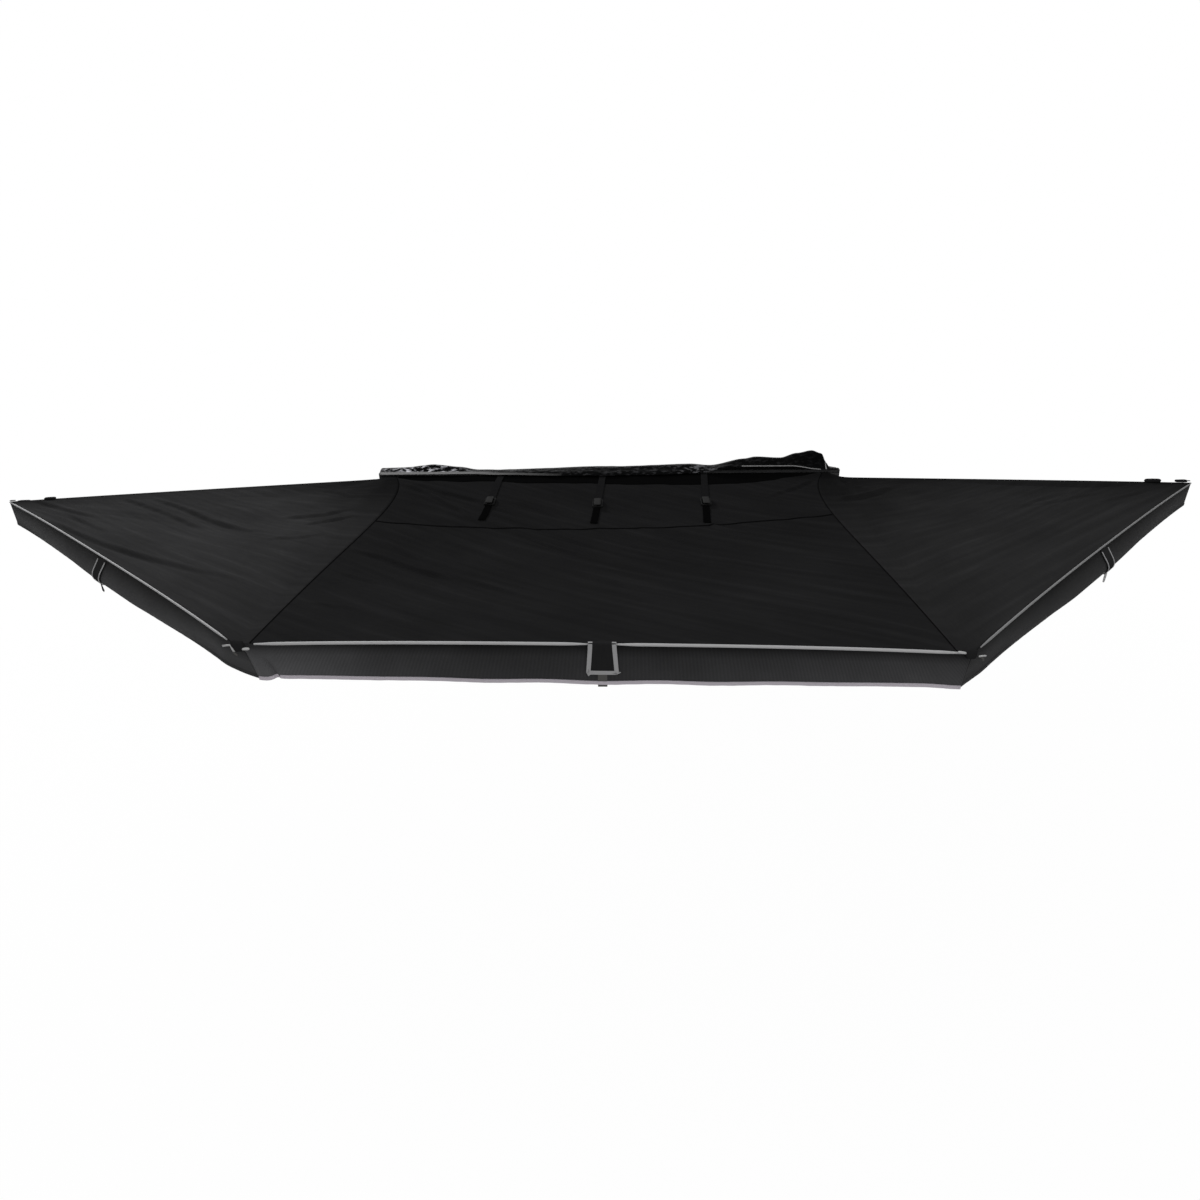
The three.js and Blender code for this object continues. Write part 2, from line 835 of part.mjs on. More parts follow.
// Top of the cloth between the front arms, on both sides of the seams to the wings.
function centrePoint(acrossShare, distance) {
  const [left, right] = ends;
  const level = mix(clothTop(left), clothTop(right), acrossShare);
  const depthShare = distance / frontDistance(acrossShare);
  const middleSag = centreSag * Math.sin(Math.PI * depthShare) * arch(acrossShare);
  const sag = middleSag + frontEdgeSag * depthShare * bulge(acrossShare);
  return new THREE.Vector3(
    mix(-frontPivotX + seamGap / 2, frontPivotX - seamGap / 2, acrossShare),
    -canopyStart - distance,
    level + (canopyRailHeight - level) * channelShare(distance) - sag,
  );
}

// How far a wing's seam lies inside its front arm, as a share of the width between the arms.
function seamShare(distance, gap) {
  const inset = mix(wingSeamRearInset, wingSeamFrontInset, distance / frontCornerDistance);
  return (inset + gap) / (2 * frontPivotX);
}

// Top of the cloth between the two seams.
function panelPoint(panelShare, distance) {
  const edge = seamShare(distance, seamGap / 2);
  return centrePoint(mix(edge, 1 - edge, panelShare), distance);
}

// Top of a wing's narrow strip between its seam and the front arm.
function besideSeam(end, outwardShare, stripShare) {
  const fromArm = (1 - stripShare) * seamShare(outwardShare * frontCornerDistance, -seamGap / 2);
  const acrossShare = end.side < 0 ? fromArm : 1 - fromArm;
  return centrePoint(acrossShare, outwardShare * frontDistance(acrossShare));
}

// Soft folds that fan out from the side arm's tip over a slack wing, from -1 to 1.
function fanFold(outwardShare, acrossShare) {
  const fromFreeEdge = 1 - outwardShare;
  const fromBackEdge = 1 - acrossShare;
  const fanShare = fromBackEdge / Math.max(fromFreeEdge + fromBackEdge, Number.EPSILON);
  return Math.sin(2 * Math.PI * wingFoldCount * fanShare) * arch(outwardShare) * bulge(acrossShare);
}

// Top of the cloth between a front arm and its side arm. outwardShare runs from the rail to the
// free edge, acrossShare from the front arm to the back edge.
function wingPoint(end, outwardShare, acrossShare) {
  const { side, wingSag, wingFold } = end;
  const level = clothTop(end);
  const rise = canopyRailHeight - level;
  const outward = outwardShare * (1 - (sideEdgeCurve / armReach) * arch(acrossShare));
  const distance = outward * frontCornerDistance;
  const overArm = new THREE.Vector3(
    side * (frontPivotX + seamGap / 2),
    -canopyStart - distance,
    level + rise * channelShare(distance),
  );
  const angle = sideArmAngle(end);
  const reach = mix(knuckleShoulder, armReach, outward);
  const overhang = side * backOverhang * (1 - outward ** 4);
  const back = new THREE.Vector3(
    side * sidePivotX + reach * Math.cos(angle) - overhang * Math.sin(angle),
    sidePivotY + reach * Math.sin(angle) + overhang * Math.cos(angle),
    level + rise * channelShare(reach - sidePivotY - canopyStart),
  );
  const spanShare = overArm.distanceTo(back) / armReach;
  const sag = wingSag * spanShare * Math.sin(Math.PI * mix(wingSagStartShare, wingSagEndShare, outward));
  const point = overArm.lerp(back, acrossShare);
  point.z += wingFold * fanFold(outwardShare, acrossShare) - sag * bulge(acrossShare);
  return point;
}

// A wing's sheet: its first rows lie beside the seam, the others reach over to the back edge.
function wingSheetPoint(end, outwardShare, sheetShare) {
  const armShare = wingSeamRows / wingRows;
  if (sheetShare < armShare) {
    return besideSeam(end, outwardShare, sheetShare / armShare);
  }
  return wingPoint(end, outwardShare, (sheetShare - armShare) / (1 - armShare));
}

const clothDown = () => new THREE.Vector3(0, 0, -clothThickness);

// The rope along the canopy's back edge, with the web that holds it in the rail's front channel.
function canopyRope() {
  const half = frontPivotX - wingSeamRearInset - seamGap / 2;
  const ropeY = -railDepth + ropeDepth;
  const rope = ropeBar(half).translate(0, ropeY, channelHeight);
  const web = block(
    [-half, -canopyStart - clothThickness, channelHeight - clothThickness / 2],
    [half, ropeY, channelHeight + clothThickness / 2],
  );
  return join(rope, web);
}

// A round rope along X that runs freely in a channel.
function ropeBar(half) {
  const radius = ropeRadius - runningGap;
  return new THREE.CylinderGeometry(radius, radius, 2 * half, ropeSides).rotateZ(Math.PI / 2);
}

function makeCanopy() {
  const crossSeam = (u) => mix(crossSeamLeftDistance, crossSeamRightDistance, u);
  const rear = closedSheet(centreColumns, rearRows, (u, v) => panelPoint(u, v * crossSeam(u)), clothDown);
  place("rear_panel", join(rear, canopyRope()), canopyCloth);
  const frontEdge = seamShare(frontCornerDistance, seamGap / 2);
  const panelFront = (u) => frontDistance(mix(frontEdge, 1 - frontEdge, u));
  const centre = (u, v) => panelPoint(u, mix(crossSeam(u) + seamGap, panelFront(u), v));
  place("centre_panel", closedSheet(centreColumns, centreRows, centre, clothDown), canopyCloth);
  for (const end of ends) {
    const wing = closedSheet(wingColumns, wingRows, (u, v) => wingSheetPoint(end, u, v), clothDown);
    place(`${end.name}_wing_panel`, wing, canopyCloth);
  }
}

// Valances and the tabs on them

// The three free edges of the canopy: a point along each, its direction and the way it faces.
function freeEdges() {
  const edges = ends.map((end) => {
    const pointAt = (share) => wingPoint(end, 1, share);
    const along = pointAt(1).sub(pointAt(0)).setZ(0);
    const outward = new THREE.Vector3(end.side * along.y, -end.side * along.x, 0).normalize();
    return { name: end.name, pointAt, length: along.length(), outward };
  });
  edges.push({
    name: "front",
    pointAt: (share) => centrePoint(share, frontDistance(share)),
    length: 2 * frontPivotX,
    outward: new THREE.Vector3(0, -1, 0),
  });
  return edges;
}

// A point on the inner face of a valance. dropShare runs from the canopy's edge to the hem.
function valancePoint(edge, alongShare, dropShare) {
  const wavePairs = Math.round(edge.length / (2 * hemWaveLength));
  const wave = hemWaveDepth * dropShare * bulge(2 * wavePairs * alongShare) * bulge(alongShare);
  const drop = mix(valanceEndDrop, valanceDrop, Math.sin(Math.PI * alongShare));
  const point = edge.pointAt(alongShare).addScaledVector(edge.outward, seamGap - wave);
  point.z -= drop * dropShare;
  return point;
}

// An outline drawn across and down from the middle of a free edge, standing outside the valance.
function onValance(edge, outline) {
  const upwards = new THREE.Vector3(0, 0, 1);
  const across = new THREE.Vector3().crossVectors(upwards, edge.outward);
  const foot = edge.pointAt(tabPlaceShare).addScaledVector(edge.outward, seamGap + clothThickness + seat);
  const turn = new THREE.Matrix4().makeBasis(across, upwards, edge.outward).setPosition(foot);
  return upward(outline, 0, tabThickness).applyMatrix4(turn);
}

function tabOutline() {
  return new THREE.Shape([
    new THREE.Vector2(-tabTopWidth / 2, 0),
    new THREE.Vector2(-tabBottomWidth / 2, -tabDrop),
    new THREE.Vector2(tabBottomWidth / 2, -tabDrop),
    new THREE.Vector2(tabTopWidth / 2, 0),
  ]);
}

function tailOutline() {
  const top = -tabDrop - seat;
  return new THREE.Shape([
    new THREE.Vector2(-tailWidth / 2, top),
    new THREE.Vector2(-tailWidth / 2, -tabDrop - tailDrop),
    new THREE.Vector2(tailWidth / 2, -tabDrop - tailDrop),
    new THREE.Vector2(tailWidth / 2, top),
  ]);
}

function makeValances() {
  for (const edge of freeEdges()) {
    const thickness = () => edge.outward.clone().multiplyScalar(clothThickness);
    const sheet = closedSheet(valanceColumns, valanceRows, (u, v) => valancePoint(edge, u, v), thickness);
    place(`${edge.name}_valance`, sheet, valanceCloth);
    place(`${edge.name}_tab`, onValance(edge, tabOutline()), canopyCloth);
    if (edge.name === "front") {
      place("front_tab_tail", onValance(edge, tailOutline()), webbing);
    }
  }
}

// Compression straps, each threaded through a three-bar buckle

const buckleGap = (buckleLength - 3 * buckleBar) / 2;
const buckleLift = strapLift + strapThickness + runningGap;
const strapOverBar = buckleLift + buckleThickness + runningGap;

function acrossShareAt(x) {
  return (x + frontPivotX - seamGap / 2) / (2 * frontPivotX - seamGap);
}

// Places along a strap, as distance from the rail and height over the cloth.
function strapStations() {
  const barHalf = buckleBar / 2 + strapThickness;
  const ramp = buckleBar / 2 + buckleGap - strapThickness;
  const before = buckleDistance - ramp;
  const after = buckleDistance + ramp;
  const flat = (from, to) =>
    Array.from({ length: strapRows + 1 }, (_, row) => [mix(from, to, row / strapRows), strapLift]);
  return [
    ...flat(strapStart, before),
    [buckleDistance - barHalf, strapOverBar],
    [buckleDistance + barHalf, strapOverBar],
    ...flat(after, strapStart + strapLength),
  ];
}

function strap(x) {
  const stations = strapStations();
  const rows = stations.length - 1;
  const pointAt = (u, v) => {
    const [distance, lift] = stations[Math.round(v * rows)];
    const point = centrePoint(acrossShareAt(x + mix(-strapWidth / 2, strapWidth / 2, u)), distance);
    point.z += lift;
    return point;
  };
  return closedSheet(1, rows, pointAt, () => new THREE.Vector3(0, 0, strapThickness));
}

function buckleOutline() {
  const outline = roundedRectangle(buckleWidth, buckleLength, buckleCorner);
  const slotWidth = strapWidth + 2 * strapThickness;
  for (const end of [-1, 1]) {
    const middle = (end * (buckleBar + buckleGap)) / 2;
    const low = middle - buckleGap / 2;
    const high = middle + buckleGap / 2;
    outline.holes.push(
      new THREE.Path([
        new THREE.Vector2(-slotWidth / 2, low),
        new THREE.Vector2(slotWidth / 2, low),
        new THREE.Vector2(slotWidth / 2, high),
        new THREE.Vector2(-slotWidth / 2, high),
      ]),
    );
  }
  return outline;
}

// The buckle lies on the cloth's slope at its place.
function buckle(x) {
  const here = centrePoint(acrossShareAt(x), buckleDistance);
  const across = centrePoint(acrossShareAt(x + buckleWidth), buckleDistance).sub(here).normalize();
  const back = centrePoint(acrossShareAt(x), buckleDistance - buckleLength).sub(here).normalize();
  const normal = new THREE.Vector3().crossVectors(across, back).normalize();
  const along = new THREE.Vector3().crossVectors(normal, across);
  const turn = new THREE.Matrix4().makeBasis(across, along, normal).setPosition(here);
  return upward(buckleOutline(), buckleLift, buckleLift + buckleThickness).applyMatrix4(turn);
}

function makeStraps() {
  for (const [name, step] of [["left", -1], ["middle", 0], ["right", 1]]) {
    const x = strapOffset + step * strapSpacing;
    place(`${name}_strap`, strap(x), webbing);
    place(`${name}_buckle`, buckle(x), blackPlastic);
  }
}

// Bag cover, held by its rope in the rail's top channel

// Height of the cover's crest over its seat, for a place from -1 to 1 along the rail.
function crestRise(placeShare) {
  const next = coverCrestShares.findIndex(([share]) => share >= placeShare);
  if (next <= 0) {
    return coverRise * coverCrestShares[0][1];
  }
  const [fromPlace, fromRise] = coverCrestShares[next - 1];
  const [toPlace, toRise] = coverCrestShares[next];
  const share = (placeShare - fromPlace) / (toPlace - fromPlace);
  return coverRise * mix(fromRise, toRise, (1 - Math.cos(Math.PI * share)) / 2);
}

// Top of the cover: up from the rail to the crest, then over it and down behind.
function coverPoint(alongShare, foldShare) {
  const placeShare = 2 * alongShare - 1;
  const seatHeight = railTop + seat + coverThickness;
  const crestHeight = seatHeight + crestRise(placeShare);
  const x = (placeShare * railLength) / 2;
  if (foldShare <= coverRiseShare) {
    const share = foldShare / coverRiseShare;
    const y = mix(-railDepth / 2, coverCrestDepth, share);
    return new THREE.Vector3(x, y, mix(seatHeight, crestHeight, Math.sin((Math.PI / 2) * share)));
  }
  const turn = ((Math.PI / 2) * (foldShare - coverRiseShare)) / (1 - coverRiseShare);
  return new THREE.Vector3(
    x,
    mix(coverCrestDepth, coverBackDepth, Math.sin(turn)),
    mix(crestHeight, seatHeight - coverHang, 1 - Math.cos(turn)),
  );
}

// The way to the cover's inner face.
function coverInward(alongShare, foldShare) {
  const turn = (Math.PI / 2) * Math.max(0, (foldShare - coverRiseShare) / (1 - coverRiseShare));
  return new THREE.Vector3(0, -Math.sin(turn), -Math.cos(turn)).multiplyScalar(coverThickness);
}

function bagCover() {
  const half = railLength / 2;
  const ropeHeight = railTop - ropeDepth;
  const rope = ropeBar(half).translate(0, -railDepth / 2, ropeHeight);
  const web = block(
    [-half, -(railDepth + coverThickness) / 2, ropeHeight],
    [half, -(railDepth - coverThickness) / 2, railTop + seat + coverThickness / 2],
  );
  return join(closedSheet(coverColumns, coverRows, coverPoint, coverInward), rope, web);
}

makeRail();
makeRoofBrackets();
makeHingeBrackets();
for (const end of ends) {
  makeFrontArm(end);
  makeSideArm(end);
}
makeCanopy();
makeValances();
makeStraps();
place("bag_cover", bagCover(), coverVinyl);

export default awning;
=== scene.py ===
import json
import math
from collections import namedtuple

import bpy
from mathutils import Matrix, Vector, noise


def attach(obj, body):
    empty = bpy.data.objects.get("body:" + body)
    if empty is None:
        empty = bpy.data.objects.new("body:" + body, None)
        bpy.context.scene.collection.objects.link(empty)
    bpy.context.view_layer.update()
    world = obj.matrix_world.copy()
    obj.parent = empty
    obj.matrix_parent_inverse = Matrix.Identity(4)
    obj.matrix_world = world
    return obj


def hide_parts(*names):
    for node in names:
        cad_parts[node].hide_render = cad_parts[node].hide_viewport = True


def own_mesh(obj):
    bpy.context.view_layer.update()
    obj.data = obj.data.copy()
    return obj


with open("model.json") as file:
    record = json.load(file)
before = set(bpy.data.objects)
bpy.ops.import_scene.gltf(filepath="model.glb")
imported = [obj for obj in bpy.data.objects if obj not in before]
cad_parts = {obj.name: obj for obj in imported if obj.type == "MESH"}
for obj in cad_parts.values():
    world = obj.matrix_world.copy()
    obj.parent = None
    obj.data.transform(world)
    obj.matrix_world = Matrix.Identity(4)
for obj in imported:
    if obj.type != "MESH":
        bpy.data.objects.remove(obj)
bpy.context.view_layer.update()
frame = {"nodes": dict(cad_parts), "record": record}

# Camera
CAMERA_PLACE = (0.05, -3.2008, 0.9604)
CAMERA_PITCH = 0.4479
CAMERA_YAW = -0.0289
CAMERA_ROLL = -0.0171
CAMERA_LENS_MM = 22.5
CAMERA_SENSOR_MM = 36.0

# Rail and arms
RAIL_HALF = 1.0
RAIL_TOP = 0.05
FRONT_PIVOT_X = 0.95
FRONT_PIVOT_Y = -0.04
SIDE_PIVOT_X = 0.995
SIDE_PIVOT_Y = -0.072
KNUCKLE_SHOULDER = 0.0025
ARM_REACH = 1.475

# Canopy
CANOPY_START = 0.0188
CANOPY_RAIL_HEIGHT = 0.03875
CHANNEL_FALL = 0.12
CHANNEL_FALL_SHARE = 0.25
CROSS_SEAM_LEFT = 0.54
CROSS_SEAM_RIGHT = 0.465
SEAM_GAP = 0.0004
SEAM_INSET = 0.020
SEAM_BOW = 0.070
SEAM_BOW_SHARE = 0.25
FRONT_EDGE_CURVE = 0.035
SIDE_EDGE_CURVE = 0.028
CENTRE_SAG = 0.059
FRONT_EDGE_SAG = 0.006
WING_SAG_SHARES = (0.15, 0.95)
WING_FOLD_COUNT = 3
BACK_OVERHANG = 0.015
CLOTH_THICKNESS = 0.0012
FRONT_HALF = FRONT_PIVOT_X - SEAM_GAP / 2
FRONT_CORNER_DISTANCE = -FRONT_PIVOT_Y + ARM_REACH - CANOPY_START
CENTRE_FLAT = (1.90, 1.53)
WING_FLAT = (1.60, 1.52)

# Valances
VALANCE_DROP = 0.116
VALANCE_END_DROP = 0.098
SIDE_VALANCE_DROP = 0.102

# Straps
STRAP_PLACES = {"left": -0.473, "middle": -0.037, "right": 0.399}
STRAP_LEANS = {"left": -0.031, "middle": -0.060, "right": -0.070}
STRAP_START = 0.006
STRAP_LENGTH = 0.455
BUCKLE_DISTANCE = 0.28

End = namedtuple("End", "name side sweep level sag fold")
LEFT = End("left", -1, math.radians(9), 0.027, 0.034, 0.008)
RIGHT = End("right", 1, 0.0, -0.006, 0.020, 0.002)
ENDS = (LEFT, RIGHT)

UP = Vector((0, 0, 1))
FORWARD = Vector((0, -1, 0))
LEFTWARD = Vector((-1, 0, 0))


# Curves and shares


def mix(a, b, share):
    return a + (b - a) * share


def clamp(value, low=0.0, high=1.0):
    return min(high, max(low, value))


def smooth(value):
    value = clamp(value)
    return value * value * (3 - 2 * value)


def bulge(share):
    return math.sin(math.pi * share) ** 2


def arch(share):
    return 4 * share * (1 - share)


def shares(steps):
    return [step / steps for step in range(steps + 1)]


def table_at(table, place):
    """The numbers of a table at a place between its rows, run smoothly from row to row."""
    place = clamp(place, table[0][0], table[-1][0])
    for low, high in zip(table, table[1:]):
        if place <= high[0]:
            share = smooth((place - low[0]) / (high[0] - low[0]))
            return [mix(a, b, share) for a, b in zip(low[1:], high[1:])]
    return table[-1][1:]


# Camera


def make_camera():
    pitch, yaw, roll = CAMERA_PITCH, CAMERA_YAW, CAMERA_ROLL
    forward = Vector((math.sin(yaw) * math.cos(pitch), math.cos(yaw) * math.cos(pitch), -math.sin(pitch)))
    right = forward.cross(UP).normalized()
    up = right.cross(forward)
    turned_right = right * math.cos(roll) + up * math.sin(roll)
    turned_up = up * math.cos(roll) - right * math.sin(roll)
    data = bpy.data.cameras.new("camera")
    data.lens = CAMERA_LENS_MM
    data.sensor_width = CAMERA_SENSOR_MM
    camera = bpy.data.objects.new("camera", data)
    rotation = Matrix((turned_right, turned_up, -forward)).transposed()
    camera.matrix_world = Matrix.Translation(CAMERA_PLACE) @ rotation.to_4x4()
    bpy.context.scene.collection.objects.link(camera)
    bpy.context.scene.camera = camera


# Material nodes


def add_node(tree, kind, inputs, **settings):
    """A node whose inputs are linked to sockets or set to values."""
    node = tree.nodes.new(f"ShaderNode{kind}")
    for key, value in settings.items():
        setattr(node, key, value)
    for socket, value in inputs.items():
        if isinstance(value, bpy.types.NodeSocket):
            tree.links.new(value, node.inputs[socket])
        else:
            node.inputs[socket].default_value = value
    return node


def new_material(name, colour, roughness, metallic=0.0, specular=0.5, sheen=0.0):
    material = bpy.data.materials.new(name)
    material.use_nodes = True
    shader = material.node_tree.nodes["Principled BSDF"]
    shader.inputs["Base Color"].default_value = (*colour, 1)
    shader.inputs["Roughness"].default_value = roughness
    shader.inputs["Metallic"].default_value = metallic
    shader.inputs["Specular IOR Level"].default_value = specular
    shader.inputs["Sheen Weight"].default_value = sheen
    return material, material.node_tree, shader


def grey(value, blue=None):
    """A neutral colour, or one whose blue is set apart from its red and green."""
    return (value, value, value if blue is None else blue)


def math_node(tree, operation, first, second):
    return add_node(tree, "Math", {0: first, 1: second}, operation=operation).outputs[0]


def blended(tree, first, second, share=0.6):
    parts = math_node(tree, "MULTIPLY", first, share), math_node(tree, "MULTIPLY", second, 1 - share)
    return math_node(tree, "ADD", *parts)


def coordinates(tree, kind, scale=(1, 1, 1), turn=0.0, direction="POINT"):
    source = add_node(tree, "TexCoord", {}).outputs[kind]
    inputs = {"Vector": source, "Scale": scale, "Rotation": (0, 0, turn)}
    return add_node(tree, "Mapping", inputs, vector_type=direction).outputs["Vector"]


def noise_value(tree, vector, size, detail=4.0):
    inputs = {"Vector": vector, "Scale": 1 / size, "Detail": detail}
    return add_node(tree, "TexNoise", inputs).outputs["Fac"]


def bands(tree, vector, pitch, direction, distortion=0.0):
    inputs = {"Vector": vector, "Scale": math.pi / 10 / pitch, "Distortion": distortion}
    return add_node(tree, "TexWave", inputs, bands_direction=direction).outputs["Fac"]


def part_of(tree, vector, axis):
    return add_node(tree, "SeparateXYZ", {"Vector": vector}).outputs[axis]


def stepped(tree, value, low, high, stops):
    """A number that follows stops of (share, number) as the value runs from low to high."""
    place = add_node(tree, "MapRange", {"Value": value, "From Min": low, "From Max": high})
    ramp = add_node(tree, "ValToRGB", {"Fac": place.outputs["Result"]})
    elements = ramp.color_ramp.elements
    elements.remove(elements[1])
    for index, (share, number) in enumerate(stops):
        element = elements.new(share) if index else elements[0]
        element.position = share
        element.color = (number, number, number, 1)
    return ramp.outputs["Color"]


def vary_colour(tree, shader, contrast, low, high, value):
    """Colour runs from low to high times the shader's own as value crosses its middle."""
    base = tuple(shader.inputs["Base Color"].default_value)[:3]
    ramp = add_node(tree, "ValToRGB", {"Fac": value})
    for element, factor, way in zip(ramp.color_ramp.elements, (low, high), (-1, 1)):
        element.color = (*[part * factor for part in base], 1)
        element.position = 0.5 + way * contrast / 2
    tree.links.new(ramp.outputs["Color"], shader.inputs["Base Color"])


def vary_roughness(tree, shader, low, high, value):
    node = add_node(tree, "MapRange", {"Value": value, "To Min": low, "To Max": high})
    tree.links.new(node.outputs["Result"], shader.inputs["Roughness"])


def shade(tree, shader, factor):
    """The shader's colour times a factor."""
    socket = shader.inputs["Base Color"]
    inputs = {0: socket.links[0].from_socket, 1: factor}
    tree.links.new(add_node(tree, "VectorMath", inputs, operation="MULTIPLY").outputs["Vector"], socket)


def shade_along(tree, shader, vector, shades):
    for axis, length, stops in shades:
        shade(tree, shader, stepped(tree, part_of(tree, vector, axis), 0, length, stops))


def add_bump(tree, shader, height, distance, strength, under=None):
    inputs = {"Height": height, "Distance": distance, "Strength": strength}
    if under:
        inputs["Normal"] = under
    normal = add_node(tree, "Bump", inputs).outputs["Normal"]
    tree.links.new(normal, shader.inputs["Normal"])
    return normal


# Materials

# Woven cloth
WEAVE_PITCH = 0.0012
WEAVE_HEIGHT = 0.0003
SLUB_SIZE = 0.004
SLUB_STRETCH = (1, 0.08, 1)
CLOUD_SIZE = 0.35
SOFT_SIZE = 0.06
SOFT_HEIGHT = 0.0016
# Ribbed valance cloth
RIB_PITCH = 0.0036
RIB_HEIGHT = 0.0005
RIB_CLOUD_SIZE = 0.12
RIB_SOFT_HEIGHT = 0.004
# Webbings and tapes
HEM_PITCH = 0.0014
PIPING_PITCH = 0.0016
BINDING_PITCH = 0.0018
WEBBING_PITCH = 0.0022
WARP_SHARE = 0.7
WEBBING_HEIGHT = 0.0004
# Cover vinyl
CRUMPLE_SIZE = 0.03
CRUMPLE_HEIGHT = 0.012
VINYL_GRAIN_SIZE = 0.0016
VINYL_GRAIN_HEIGHT = 0.0003
GLINT_SIZE = 0.012
GLINT_STRETCH = (0.5, 1, 1)
# Drawn metal
STREAK_SIZE = 0.0009
STREAK_STRETCH = (0.01, 1, 1)
STREAK_HEIGHT = 0.00015


def crease_shade_lines(tree, turn, length, width):
    """Noise drawn out along a direction of the flat sheet, for painted light and shade of creases."""
    return noise_value(tree, coordinates(tree, "UV", (length, width, 1), turn, "TEXTURE"), 1.0, 2)


def woven_cloth(name, colour, shades=(), drag=None):
    material, tree, shader = new_material(name, colour, 0.8, specular=0.0)
    flat = coordinates(tree, "UV")
    weave = math_node(tree, "MULTIPLY", *[bands(tree, flat, WEAVE_PITCH, axis) for axis in "XY"])
    slub = noise_value(tree, coordinates(tree, "UV", SLUB_STRETCH), SLUB_SIZE)
    cloudy = noise_value(tree, flat, CLOUD_SIZE, 3)
    vary_colour(tree, shader, 0.35, 0.86, 1.14, blended(tree, cloudy, slub))
    shade_along(tree, shader, flat, shades)
    # Painted light and shade of creases: the colour made lighter and darker in streaks along the creases
    if drag:
        shade(tree, shader, stepped(tree, crease_shade_lines(tree, *drag), 0.36, 0.66, CREASE_SHADE_STOPS))
    soft = add_bump(tree, shader, noise_value(tree, flat, SOFT_SIZE, 5), SOFT_HEIGHT, 0.3)
    add_bump(tree, shader, weave, WEAVE_HEIGHT, 0.5, soft)
    return material


def ribbed_cloth(name, colour, shades):
    material, tree, shader = new_material(name, colour, 0.85, sheen=0.03, specular=0.04)
    flat = coordinates(tree, "UV")
    rows = bands(tree, flat, RIB_PITCH / 2, "Y")
    shallow_rows = math_node(tree, "ADD", math_node(tree, "MULTIPLY", rows, 0.5), 0.5)
    ribs = math_node(tree, "MULTIPLY", bands(tree, flat, RIB_PITCH, "X"), shallow_rows)
    cloudy = noise_value(tree, flat, RIB_CLOUD_SIZE)
    vary_colour(tree, shader, 0.6, 0.6, 1.4, blended(tree, ribs, cloudy))
    shade_along(tree, shader, flat, shades)
    soft = add_bump(tree, shader, cloudy, RIB_SOFT_HEIGHT, 0.4)
    add_bump(tree, shader, ribs, RIB_HEIGHT, 0.6, soft)
    return material


def band_webbing(name, colour, pitch, roughness=0.75, specular=0.2, shades=()):
    material, tree, shader = new_material(name, colour, roughness, specular=specular)
    flat = coordinates(tree, "UV")
    warp = bands(tree, flat, pitch * WARP_SHARE, "X", 0.5)
    woven = blended(tree, bands(tree, flat, pitch, "Y"), warp)
    vary_colour(tree, shader, 0.8, 0.75, 1.25, woven)
    shade_along(tree, shader, flat, shades)
    add_bump(tree, shader, woven, WEBBING_HEIGHT, 0.8)
    return material


def glossy_vinyl(name, colour):
    """Vinyl with pale painted glints on its crumples in places along the rail, mostly at its front."""
    material, tree, shader = new_material(name, colour, 0.3, specular=0.006)
    flat = coordinates(tree, "Object")
    crumple = noise_value(tree, flat, CRUMPLE_SIZE, 6)
    vary_roughness(tree, shader, 0.14, 0.45, crumple)
    vary_colour(tree, shader, 0.5, 0.8, 1.25, crumple)
    # Painted glints: pale spots in the colour that stand in for highlights on the crumples
    patches = noise_value(tree, coordinates(tree, "Object", GLINT_STRETCH), GLINT_SIZE, 5)
    glints = stepped(tree, patches, 0.5, 0.66, [(0, 0), (1, 1)])
    along = stepped(tree, part_of(tree, flat, "X"), -RAIL_HALF, RAIL_HALF, PAINTED_GLINT_STOPS)
    across = stepped(tree, part_of(tree, flat, "Y"), *PAINTED_GLINT_DEPTHS, PAINTED_GLINT_DEPTH_STOPS)
    amount = math_node(tree, "MULTIPLY", glints, math_node(tree, "MULTIPLY", along, across))
    shade(tree, shader, math_node(tree, "ADD", amount, 1.0))
    soft = add_bump(tree, shader, crumple, CRUMPLE_HEIGHT, 0.7)
    add_bump(tree, shader, noise_value(tree, flat, VINYL_GRAIN_SIZE, 2), VINYL_GRAIN_HEIGHT, 0.3, soft)
    return material


# Base roughness, metal and reflection, then how roughness and tone vary, and the smudges' size
Drawn = namedtuple("Drawn", "roughness metallic specular shine tones smudge_size")
ALUMINIUM = Drawn(0.36, 1.0, 0.5, (0.26, 0.5), (0.88, 1.08), 0.08)
ANODISED = Drawn(0.4, 0.0, 0.35, (0.3, 0.55), (0.7, 1.4), 0.06)


def drawn_metal(name, colour, look, turn=0.0):
    material, tree, shader = new_material(name, colour, look.roughness, look.metallic, look.specular)
    streaky = noise_value(tree, coordinates(tree, "Object", STREAK_STRETCH, turn), STREAK_SIZE, 3)
    smudge = noise_value(tree, coordinates(tree, "Object"), look.smudge_size)
    vary_roughness(tree, shader, *look.shine, blended(tree, streaky, smudge, 0.5))
    vary_colour(tree, shader, 0.5, *look.tones, smudge)
    add_bump(tree, shader, streaky, STREAK_HEIGHT, 0.5)
    return material


# As above, with the wear's size and contrast, then the grain's size, height and strength
Worn = namedtuple(
    "Worn", "roughness metallic specular shine tones wear_size contrast grain_size height strength"
)
POWDER_COAT = Worn(0.42, 0.0, 0.4, (0.34, 0.55), (0.8, 1.5), 0.03, 0.5, 0.0012, 0.0002, 0.5)
MOULDED = Worn(0.48, 0.0, 0.4, (0.384, 0.6), (0.75, 1.5), 0.02, 0.4, 0.0007, 0.00012, 0.6)
DULL_MOULDED = MOULDED._replace(roughness=0.5, specular=0.006, shine=(0.4, 0.625))
PLATED = Worn(0.28, 1.0, 0.5, (0.2, 0.42), (0.8, 1.1), 0.006, 0.5, 0.0006, 0.0001, 0.4)


